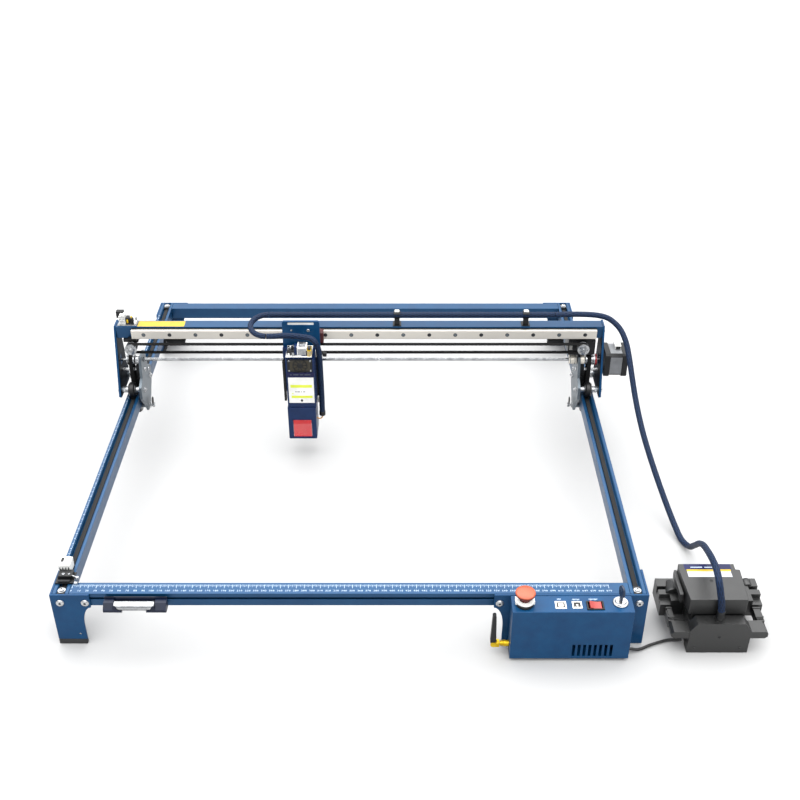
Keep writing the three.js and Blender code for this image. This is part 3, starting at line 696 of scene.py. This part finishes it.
KEY = (333.8, -13.2, TOP)
shape = Shape()
shape.turned("z", KEY, [(0, 0.3), (9.6, 0.3), (9.6, 1.3), (8.9, 2), (7.2, 2), (6.6, 2.6),
                        (6.2, 3.2), (0, 3.3)], 48)
# the key slot as a flat dark strip: painted shade in the keyway
shape.box((KEY[0] - 0.9, KEY[0] + 0.9), (KEY[1] - 4.6, KEY[1] + 4.6), (TOP + 3.2, TOP + 3.4), 1)
piece("key_bezel", shape, "frame", [TURNED, HOLE_SHADE_AND_DARK_PARTS], edge=0.1,
      replaces=["key_lock"])
shape = Shape()
shape.slab("x", [(-2.4, 0.3), (2.4, 0.3), (2.4, 7), (4.4, 8.2), (5.9, 10.4), (6.4, 14), (6, 18.6),
                 (4.4, 21.6), (1.8, 23), (-1.8, 23), (-4.4, 21.6), (-6, 18.6), (-6.4, 14),
                 (-5.9, 10.4), (-4.4, 8.2), (-2.4, 7)], -1.45, 1.45)
shape.rod("x", (0, 0, 18.4), 1.9, -1.55, 1.55, 20, 1)
shape.moved(Matrix.Translation((KEY[0], KEY[1], TOP + 3.5))
            @ Matrix.Rotation(math.radians(14), 4, "Z"))
piece("key_blade", shape, "key", [KEY_DARK, BEARING], edge=0.4, replaces=["key"])

# knurled rings on the antenna's connector
shape = Shape()
for i in range(4):
    x = 189.3 + i * 1.7
    shape.turned("x", (x, -15, 16.5), [(3.9, 0), (4.35, 0.2), (4.35, 0.9), (3.9, 1.1), (3.9, 0)],
                 10)
piece("connector_knurl", shape, "frame", GOLD)

# ---- focus gauge clips ----
shape = Shape()
for x0, x1, side in ((-302.6, -291.4, 1), (-239.6, -226.8, -1)):
    inner = x1 if side > 0 else x0
    shape.slab("y", [(inner, 79.2), (inner + side * 2.4, 79.2), (inner + side * 6.6, 70.9),
                     (inner, 70.9)], -14.95, -14.35)
    shape.box((x0, x1), (-1.6, -0.3), (79, 82))
piece("clip_cheeks", shape, "frame", NAVY_PLASTIC, edge=0.2)

# ---- Y limit switch on the left rail ----
shape = Shape()
shape.box((-369.3, -346.8), (20, 40), (83.7, 85.6), 1)
shape.box((-367, -349.5), (26.5, 39), (85.5, 91), 1)
shape.box((-366, -351), (20.8, 24), (85.6, 87.6), 1)
shape.box((-369, -354), (40, 56), (83.7, 97.4))
shape.box((-367.6, -355.4), (42, 54.4), (97.4, 99.2))
shape.box((-366.4, -362.6), (44, 52), (99.1, 99.4), 1)
shape.box((-360.4, -356.8), (46, 53), (99.1, 99.4), 2)
for x in (-367.2, -363.4, -359.6, -355.9):
    shape.box((x - 0.7, x + 0.7), (39.2, 40.1), (87, 94), 2)
shape.screw("z", (-360.4, 30.4, 91), 2.2, 1.2, 1, 2)
shape.screw("z", (-353.2, 30.4, 91), 1.6, 1, 1, 2)
piece("y_switch_parts", shape, "frame", [WHITE_PART, BLACK, BEARING], edge=0.25,
      replaces=["y_limit_switch"])
shape = Shape()
shape.slab("z", [(-351, 29.4), (-343.2, 26), (-342.6, 26.8), (-350.4, 30.6)], 86.4, 90)
shape.rod("z", (-342, 25.8, 86), 1.9, 0, 4.4, 16)
shape.box((-345.6, -341.2), (19.6, 23), (83.45, 85.4))
piece("y_switch_lever", shape, "frame", BEARING, edge=0.15)

# ---- gantry: holes of the guide, label, clips and tabs ----
FACE = 465.7                              # front of the linear guide
# the guide's holes drawn as flat dark discs, some holding a grey screw: painted shade in the holes
shape = Shape()
for i in range(18):
    x, z = -332 + 40 * i, 187.6
    if i % 2:
        shape.rod("y", (x, FACE, z), 3.1, -0.06, 0.1)
    else:
        shape.ring("y", (x, FACE, z), 2.3, 3.1, -0.06, 0.1)
        shape.ring("y", (x, FACE, z), 1, 2.3, -0.05, 0.1, 24, 1)
        shape.rod("y", (x, FACE, z), 1, -0.04, 0.1, 6)
piece("guide_holes", shape, "gantry", [HOLE_SHADE_AND_DARK_PARTS, PLATE_GREY])
# a thin black strip over the rear of the guide's top: painted shade below the beam's front lip
shape = Shape().box((-351, 366), (469.6, 473.7), (195.12, 195.35))
piece("guide_shade_strip", shape, "gantry", BLACK)

BEAM_TOP = 197.4
shape = Shape().box((-342.5, -270.2), (475, 491.5), (BEAM_TOP, BEAM_TOP + 0.12))
piece("beam_label", shape, "gantry", YELLOW)

for name, x in (("hose_clip_left", 58.3), ("hose_clip_right", 256.7)):
    shape = Shape()
    shape.ribbon(arc((HOSE_BACK, HOSE_Z), 5.4, 150, -100, 26), "x", x - 5, x + 5, 1.3)
    shape.box((x - 4, x + 4), (477.6, 482), (BEAM_TOP, 209.8))
    shape.box((x - 6.5, x + 6.5), (475.4, 490), (BEAM_TOP, BEAM_TOP + 1.2))
    shape.box((x - 3.4, x + 3.4), (476.6, 483), (221.5, 222.6), 1)
    shape.screw("z", (x, 486.4, BEAM_TOP + 1.2), 1.9, 1.2, 1, 1, 0)
    piece(name, shape, "gantry", [BLACK, WHITE_PART], edge=0.15)

shape = Shape()
shape.box((-301.5, -268.8), (467, 473), (175.4, 177.3))
shape.box((-303, -299), (466.5, 471), (166.8, 177))
shape.box((291.7, 316), (467, 473), (175.6, 177.6))
shape.box((-358.4, -344.4), (465.9, 476), (176.4, 180))
piece("cable_tabs", shape, "gantry", BLACK, edge=0.2)

# ---- gantry: belts ----
SHAFT = (478, 136.8)                      # the cross shaft, in y and z
BELT_Z, BELT_IN = 166.8, 6.6              # middle of the X belt, and its inner faces from there
shape = Shape()
for i in range(344):
    x = -347 + 2 * i
    for side in (-1, 1):
        near, far = BELT_Z + side * BELT_IN, BELT_Z + side * (BELT_IN - 0.75)
        shape.slab("y", [(x - 0.55, near), (x - 0.35, far), (x + 0.35, far), (x + 0.55, near)],
                   458.4, 464)
piece("x_belt_teeth", shape, "gantry", BELT_PLAIN)
for tag, side in SIDES:
    path = [(452, 79.3), (458, 79.3)] + arc((464.2, 85.5), 6.2, 270, 360, 8)
    path += arc(SHAFT, 7.6, 180, 0, 20) + arc((491.8, 85.5), 6.2, 180, 270, 8)
    path += [(498, 79.3), (504, 79.3)]
    shape = Shape().ribbon(path, "x", side * 360 - 3, side * 360 + 3, 1.2)
    piece(f"y_belt_loop_{tag}", shape, "gantry", BELT_PLAIN)

# ---- gantry: end plates ----
AXLES = ((456, 94.6), (500, 94.6), (478, 51.1))   # front wheel, rear wheel, roller
PLATE_OUT, PLATE_IN = 379, 341            # outside of the outer plates, inside of the inner ones
for tag, side in SIDES:
    shape = Shape()
    for y, z in AXLES:
        if z > 60:
            shape.screw("x", (side * PLATE_OUT, y, z), 4.6, 2.6, side)
        at = (side * PLATE_IN, y, z)
        shape.turned("x", at, [(0, 0), (4.4, 0), (4.4, -1.6 * side), (3.4, -2.2 * side),
                               (0, -2.2 * side)], 6)
        shape.turned("x", at, [(0, -2.2 * side), (2, -2.2 * side), (2, -4.2 * side),
                               (0, -4.4 * side)], 16)
    for y in (481, 491):
        shape.screw("x", (side * PLATE_OUT, y, 187), 3.2, 1.8, side)
    # the spacer bolt between the two plates, and the screws at its ends
    shape.rod("x", (0, 478, 118.6), 2.6, side * PLATE_IN, side * 376, 20)
    shape.screw("x", (side * PLATE_OUT, 478, 118.6), 3.6, 1.8, side)
    shape.screw("x", (side * PLATE_IN, 478, 118.6), 3.6, 1.8, -side)
    shape.screw("x", (side * PLATE_IN, 498, 107.5), 2.6, 1.6, -side)
    # on the wheels' axles: a lock nut inside the outer plate, and spacers beside the wheel
    for y, z in AXLES[:2]:
        shape.rod("x", (side * 369.4, y, z), 5.2, 0, 3 * side, 6, 2)
        for near, far in ((345.2, 353.3), (364.6, 369)):
            shape.ring("x", (0, y, z), 4.45, 5, side * near, side * far, 28, 2)
    piece(f"plate_bolts_{tag}", shape, "gantry", [ZINC, HOLE_SHADE_AND_DARK_PARTS, BEARING])
    shape = Shape()
    shape.slab("x", [(472.4, 88), (483.6, 88), (484.4, 108), (483.6, 128.2), (472.4, 128.2)],
               *sorted((side * 345.3, side * 353.2)))
    shape.box(sorted((side * 345.2, side * 350)), (466, 491), (106.5, 112))
    piece(f"belt_clamp_{tag}", shape, "gantry", BLACK, edge=0.3)
    # bearing housing of the cross shaft on the inner plate, and a near-black sheet on the outer
    # one: painted shade between the plates
    shape = Shape()
    shape.turned("x", (0, *SHAFT), [(4.8, side * 345.2), (7.6, side * 345.2),
                                    (7.6, side * 351.6), (7, side * 352.6), (4.8, side * 352.6),
                                    (4.8, side * 345.2)], 36)
    piece(f"shaft_bearing_{tag}", shape, "gantry", CREAM if side > 0 else ZINC)
    face = sorted((side * 375.55, side * 375.95))
    shape = Shape().slab("x", [(447.6, 88), (451, 84.6), (472.5, 84.6), (472.5, 180)], *face)
    shape.slab("x", [(483.5, 84.6), (505, 84.6), (510.4, 89), (510.4, 107.4), (504.6, 123),
                     (498.8, 180), (483.5, 180)], *face)
    shape.box(face, (472.5, 483.5), (84.6, 128))
    shape.box(face, (472.5, 483.5), (146, 180))
    piece(f"plate_shade_sheet_{tag}", shape, "gantry", PLATE_SHADE)
    # eccentric lever under the inner plate
    shape = Shape()
    shape.rod("x", (side * 336.6, 478, 51.1), 3.6, 0, -3.4 * side, 18)
    blade = sorted((side * 334.8, side * 336.4))
    shape.slab("x", [(475.4, 50), (473.6, 62), (476, 65.4), (480, 65.4), (482.4, 62), (480.6, 50)],
               *blade, 1)
    piece(f"eccentric_lever_{tag}", shape, "gantry", [BEARING, BLACK], edge=0.2)

for name, (y, z) in zip(("wheel_front", "wheel_rear", "roller"), AXLES):
    for tag, side in SIDES:
        shape = Shape()
        for face in (-1, 1):
            at = (side * RAIL_X + face * 5.1, y, z)
            shape.ring("x", at, 2.8, 6.4, 0, 0.16 * face, 28)
            # a thin silver ring near the tyre's edge: a painted highlight on the rim, while the
            # ring above is the real bearing
            shape.ring("x", at, 9.3, 9.6, 0, 0.12 * face, 28)
        piece(f"{name}_bearings_{tag}", shape, f"{name}_{tag}", BEARING)

# shaft collars and the cream coupling, which turn with the shaft
shape = Shape()
for x0, x1, inner, outer, paint in ((-353.8, -346, 2.5, 4.4, 1), (328, 340, 6.35, 7.2, 0),
                                    (329.6, 331, 7.15, 7.35, 2), (336.8, 338.2, 7.15, 7.35, 2),
                                    (366.2, 369, 2.5, 8.6, 1), (369, 371.4, 2.5, 8.9, 3)):
    shape.turned("x", (0, *SHAFT), [(inner, x0), (outer - 0.4, x0), (outer, x0 + 0.4),
                                    (outer, x1 - 0.4), (outer - 0.4, x1), (inner, x1),
                                    (inner, x0)], 32, paint)
piece("shaft_collars", shape, "sync_shaft", [CREAM, TURNED, PLATE_GREY, RED_RING])

# ---- gantry: motors ----
shape = Shape().slab("x", [(458.1, 122), (463, 116.9), (493, 116.9), (497.9, 122), (497.9, 151.6),
                           (493, 156.7), (463, 156.7), (458.1, 151.6)], 390.2, 408.8)
piece("y_motor_body", shape, "gantry", LAMINATED, edge=0.3)
shape = Shape()
shape.box((398.8, 408.2), (475.8, 492.2), (156.5, 161.95))
shape.box((400, 407), (474.6, 476), (157.6, 161), 1)
for i in range(4):
    shape.box((400.6 + 1.7 * i, 401.4 + 1.7 * i), (476.6, 491), (161.9, 162.05), 1)
for y in (461.5, 494.5):
    for z in (120.3, 153.3):
        shape.screw("x", (417.5, y, z), 2, 1.2, 1, 2)
piece("y_motor_fittings", shape, "gantry", [WHITE_PART, BLACK, ZINC], edge=0.15)
shape = Shape()
for x, z in ((329, 153.4), (362.4, 153.4), (329, 172.8), (362.4, 172.8)):
    shape.screw("y", (x, 470.6, z), 1.8, 1.1, -1)
shape.box((325.4, 331.6), (470.1, 470.6), (158, 169))
for i in range(5):
    shape.box((326.2, 330.8), (469.8, 470.2), (159 + 2 * i, 159.7 + 2 * i), 2)
piece("x_motor_fittings", shape, "gantry", [BLACK_METAL, HOLE_SHADE_AND_DARK_PARTS, WHITE_PART],
      edge=0.1)
for name, x in (("drive", 346), ("idler", -352.7)):
    shape = Shape()
    shape.turned("y", (x, 455.9, BELT_Z), [(3.4, 0), (3.8, -0.6), (8.6, -0.3), (9.2, 0), (9.2, 1),
                                           (9, 1.2), (3.4, 1.2), (3.4, 0)], 40)
    shape.turned("y", (x, 455.9, BELT_Z), [(0, -0.9), (1.8, -0.9), (2.2, -0.5), (2.2, 0.2),
                                           (0, 0.2)], 20)
    for a, b in arc((x, BELT_Z), 5.8, 0, 288, 4):
        shape.rod("y", (a, 455.3, b), 0.8, -0.02, 0.3, 12, 1)
    piece(f"x_{name}_pulley_rim", shape, f"x_{name}_pulley", [TURNED, HOLE_SHADE_AND_DARK_PARTS])

# ---- gantry: X limit switch ----
shape = Shape()
shape.box((-373, -343), (476, 493), (197.7, 198.9), 2)
shape.box((-374.4, -363.4), (483, 491), (207.8, 218.6), 1)
shape.box((-368, -360.4), (478.6, 486), (213, 216.2))
shape.box((-370.4, -360.8), (479.4, 489), (198.9, 212.4))
for z in (201.5, 204.5, 207.5, 210.5):
    shape.box((-369.6, -361.6), (478.9, 479.5), (z - 0.5, z + 0.5), 2)
shape.box((-360, -355), (480, 489), (198.9, 209.6), 1)
shape.box((-358.8, -356.2), (479.2, 480.2), (201, 207), 3)
shape.turned("z", (-351.6, 483.4, 198.9), [(0, 0), (3.1, 0), (3.1, 8.6), (2.5, 9.2), (0, 9.2)],
             24, 1)
shape.turned("z", (-351.6, 483.4, 208), [(0, 0), (1.6, 0), (1.2, 2.8), (0, 3)], 18, 3)
shape.box((-347.6, -344.4), (479, 485), (198.9, 203.4))
shape.box((-347, -345), (486.6, 491), (198.9, 206.4), 2)
piece("x_switch_parts", shape, "gantry",
      [WHITE_PART, BLACK, BEARING, GOLD], edge=0.2, replaces=["x_limit_switch"])

# ---- head ----
HX = -88                                  # middle of the fan and the nozzle, left to right
shape = Shape()
for x, z, r in ((-102.2, 203.6, 1.5), (-76.9, 203.2, 2.3), (-101.8, 190.4, 1.5),
                (-75.4, 189.6, 1.5)):
    shape.screw("y", (x, 452.2, z), r, 0.9, -1)
piece("head_screws", shape, "head", [ZINC, HOLE_SHADE_AND_DARK_PARTS])

shape = Shape()
shape.box((-109, -69.8), (411.1, 446), (180.1, 180.9))
shape.box((-91.6, -77), (414, 430.4), (180.9, 195.6))
shape.box((-90.4, -78.2), (413.4, 414.1), (183, 193), 3)
shape.box((-89.6, -79), (415.6, 429), (195.5, 196.6), 3)
shape.box((-107, -95.4), (416.4, 431.6), (180.9, 189), 2)
for i in range(4):
    shape.turned("z", (-105.2 + 2.9 * i, 419 + (i % 2) * 5, 188.8),
                 [(0, 0), (1.2, 0), (1.2, 4.6 - i % 2), (0, 5 - i % 2)], 14, (3, 0, 1, 3)[i])
shape.turned("z", (-98, 414.4, 180.9), [(0, 0), (2.1, 0), (2.1, 5.6), (0, 5.8)], 20, 3)
shape.turned("z", (-104.4, 413.8, 180.9), [(0, 0), (1.5, 0), (1.5, 4), (0, 4.2)], 20)
shape.box((-76.6, -70.2), (412.8, 426.4), (180.9, 191), 4)
for i in range(3):
    shape.box((-75.8 + 2 * i, -74.8 + 2 * i), (412.2, 412.9), (182, 190), 3)
shape.box((-75.4, -71.4), (414, 421), (190.9, 194.4), 2)
piece("driver_board", shape, "laser",
      [WHITE_PART, BLACK, HOLE_SHADE_AND_DARK_PARTS, BEARING, GOLD], edge=0.12)

# a white strip behind the head plate's slot: a painted highlight of the slot
shape = Shape().box((-108, -68), (453.2, 455.4), (212.5, 216.7))
piece("head_slot_highlight", shape, "head", WHITE_PART, edge=0.3)

FRONT = 411                               # front face of the laser module
FAN_Z = 165.9                             # height of the fan's middle
PRINT_Y = (410.66, 410.74)                # the layer of print on the warning label
shape = Shape()
shape.box((-107.2, -69.6), (410.1, FRONT), (154.8, 177))
shape.box((-103.4, -72.6), (410, 410.2), (157.6, 174.6), 3)
shape.ring("y", (HX, 410.1, FAN_Z), 9.9, 11.2, -0.9, 0.2, 36, 1)
shape.turned("y", (HX, 410.1, FAN_Z), [(0, -1.1), (4, -1.1), (4.4, -0.6), (4.4, 0.2), (0, 0.2)],
             28, 1)
for i in range(9):
    a = 2 * math.pi * i / 9
    c, d = math.cos(a), math.sin(a)
    corners = ((4.3, -0.7), (10, 0.9), (10, 2.2), (4.3, 0.7))
    shape.slab("y", [(HX + r * c - t * d, FAN_Z + r * d + t * c) for r, t in corners],
               409.7, 410.1, 1)
for x in (-104.6, -72.2):
    for z in (157.4, 174.4):
        shape.screw("y", (x, 410.1, z), 1.5, 0.9, -1, 2)
piece("fan_grille", shape, "laser", [BLACK, BLACK_METAL, BEARING, OLIVE], edge=0.1)

shape = Shape()
shape.box((-109, -67.4), (410.7, FRONT), (145.9, 153.6))
for x0, x1 in ((-104, -101.6), (-99, -91), (-89, -84), (-82, -73)):
    shape.box((x0, x1), (410.62, 410.7), (149.2, 150.2), 1)
piece("module_band", shape, "laser", [LABEL_BLUE, PLATE_GREY])
shape = Shape()
shape.box((-107.4, -68.6), (410.72, FRONT), (98.8, 144.6))
shape.box((-104.4, -71.4), PRINT_Y, (126.4, 131.6), 1)
shape.box((-103.6, -71.4), PRINT_Y, (107.8, 112), 1)
for i, wide in enumerate((3.4, 5, 2.2, 4)):
    x = -98 + 4.2 * i
    shape.box((x - wide / 2 + 2, x + wide / 2 + 1), PRINT_Y, (118.4, 119.6), 2)
shape.slab("y", [(-89.4, 101.2), (-86.6, 101.2), (-86.6, 103), (-85.6, 103), (-88, 106.2),
                 (-90.4, 103), (-89.4, 103)], *PRINT_Y, 2)
shape.slab("y", [(-103, 115), (-100, 115), (-101.5, 117.6)], *PRINT_Y, 1)
piece("warning_label", shape, "laser", [WHITE_PART, LIME, BLACK])

shape = Shape()
for z in range(96, 172, 6):
    shape.box((-66.45, -65.9), (415, 443), (z, z + 1.6))
    shape.box((-110.1, -109.85), (415, 443), (z, z + 1.6))
piece("module_fins", shape, "laser", NAVY)
shape = Shape()
shape.box((-66.2, -63.6), (434.9, 441), (166.5, 177.5))
shape.box((-66.2, -63.2), (434.9, 441), (83.9, 93.4))
piece("white_plugs", shape, "laser", WHITE_PART, edge=0.2)
shape = Shape()
shape.box((-118.2, -114.4), (439, 446), (84, 156))
shape.box((-117.4, -116.8), (446, 452), (98, 150))
shape.box((-66.2, -60.4), (441.4, 446), (84, 172))
piece("slide_strips", shape, "laser", BLACK_METAL, edge=0.3)

shape = Shape()
shape.turned("z", (-59, 430, 63.4), [(0, 0), (3.6, 0), (4.2, 0.6), (4.9, 1.2), (4.9, 7.4), (4.4, 8),
                                     (0, 8)], 28)
piece("hose_end_cap", shape, "laser", BLACK_METAL)
loop = curve([(-59.2, 430, 64), (-59, 430, 60.6), (-61.4, 430, 57.6), (-65, 430, 57.2),
              (-67.4, 430.2, 58.8)], 0.8)
piece("amber_loop", Shape().tube(loop, 0.9, 12), "laser", AMBER)

shape = Shape()
for x0, x1, z0, z1 in ((-104.4, -103.3, 35.6, 69.4), (-74.7, -73.6, 35.6, 69.4),
                       (-104.4, -73.6, 68.3, 69.4), (-104.4, -73.6, 35.6, 36.7)):
    shape.box((x0, x1), (408.65, 409.05), (z0, z1))
piece("window_rim", shape, "laser", NAVY)
shape = Shape()
shape.turned("z", (HX, 430, 74), [(0, 0), (3.2, 0), (6, 9), (6, 16.4), (0, 16.4)], 28)
shape.turned("z", (HX, 430, 67), [(0, 0), (1.6, 0), (2.6, 7), (0, 7)], 24, 1)
piece("nozzle", shape, "laser", [TURNED, GOLD])

# ---- air pump ----
LID = 75                                  # upper face of the pump
shape = Shape()
shape.slab("z", [(424.4, 1), (496.7, 1), (500, 56.8), (494.4, 57.6), (494.4, 67.8), (422.6, 67.8),
                 (421.2, 57)], 50.6, LID)
shape.box((430, 497), (3, 61), (40.3, 52))
shape.slab("z", [(416.4, 20), (421.6, 20), (421.6, 66), (418, 66), (416.4, 60)], 58, 66.4)
shape.box((417.4, 421.6), (20, 28), (52, 58.2))
piece("pump_lid", shape, "frame", PUMP, edge=0.9, replaces=["pump_hood"])
shape = Shape()
shape.box((429, 489), (57, 67.2), (LID, 75.1))
shape.box((431, 487.6), (53, 57), (LID, 75.08), 1)
shape.box((431, 487), (42.8, 53), (LID, 75.07), 3)
for x in ((437, 452), (455, 474)):
    shape.box(x, (60.4, 61.6), (75.1, 75.16), 2)
piece("pump_label", shape, "frame", [LABEL_BLUE, YELLOW, WHITE_PAINT, LABEL_WHITE])
shape = Shape()
# the pump's holes drawn as flat black discs: painted shade in the holes
shape.rod("z", (458.3, 35.8, LID), 2.3, 0.06, -0.2)
shape.ring("z", (458.3, 35.8, LID), 2.3, 3, 0, 0.12, 24, 1)
shape.rod("y", (463.5, -15.4, 26.8), 1.9, -0.06, 0.2)
shape.turned("y", (463.5, -15.4, 26.8), [(1.9, -0.3), (2.8, -0.1), (2.8, 0.2), (1.9, 0.2),
                                         (1.9, -0.3)], 24, 1)
for x in (434, 492):
    shape.screw("y", (x, -15.4, 8), 1.8, 0.8, -1, 1, 0)
piece("pump_holes", shape, "frame", [BLACK, PUMP])
shape = Shape()
shape.turned("y", (415, 0, 43), [(0, 44), (9.4, 44), (10, 45), (5.4, 67), (4.8, 67.6), (0, 67.6)],
             36)
shape.turned("y", (515.6, 0, 42.6), [(0, 58), (5.4, 58), (6, 59), (6, 70), (5.4, 71), (0, 71)], 32)
shape.box((404, 427), (13, 22), (20, 30))
shape.box((404.4, 411), (8, 30), (34.8, 36.6))
shape.box((514.6, 523.4), (8, 30), (34.8, 36.6))
for y in (10.6, 26.4):
    shape.box((403.2, 411.6), (y - 1, y + 1), (24, 37.6))
    shape.box((514, 524.4), (y - 1, y + 1), (24, 37.6))
piece("pump_side_parts", shape, "frame", PUMP, edge=0.5)
shape = Shape()
for i in range(3):
    wide = 5.6 - 0.3 * i
    shape.turned("z", (*BARB, 53.4 + 2.4 * i), [(3.3, 0), (wide, 0.3), (wide - 0.4, 2.2),
                                                (3.3, 2.2), (3.3, 0)], 28)
shape.turned("z", (*BARB, 60.8), [(4.35, 0), (5, 0.2), (5, 3.4), (4.35, 3.6), (4.35, 0)], 28)
piece("hose_barb", shape, "frame", BLACK)

# ---- stage ----
floor = placed("floor", bpy.data.meshes.new("floor"))
floor.data.from_pydata([(-9, -9, 0), (9, -9, 0), (9, 9, 0), (-9, 9, 0)], [], [(0, 1, 2, 3)])
floor.location.z = -0.0004
floor.data.materials.append(material("pale_floor", "9c9c9c", "9f9f9f", 0.6, bump=0.0, grain=2))

world = bpy.data.worlds.new("studio")
bpy.context.scene.world = world
world.use_nodes = True
tree = world.node_tree
sky = wire(tree, "ShaderNodeSeparateXYZ",
           {"Vector": wire(tree, "ShaderNodeTexCoord").outputs["Generated"]})
tree.links.new(ramp(tree, sky.outputs["Z"], (0.09, 0.093, 0.1, 1), (1, 1, 1, 1), 0.3, 0.76),
               tree.nodes["Background"].inputs["Color"])
tree.nodes["Background"].inputs["Strength"].default_value = 4.6
sun = placed("softbox", bpy.data.lights.new("softbox", "SUN"))
sun.data.energy = 0.5
sun.data.angle = math.radians(50)
sun.rotation_euler = (math.radians(-28), math.radians(-16), 0)
bpy.context.scene.view_settings.view_transform = "Standard"
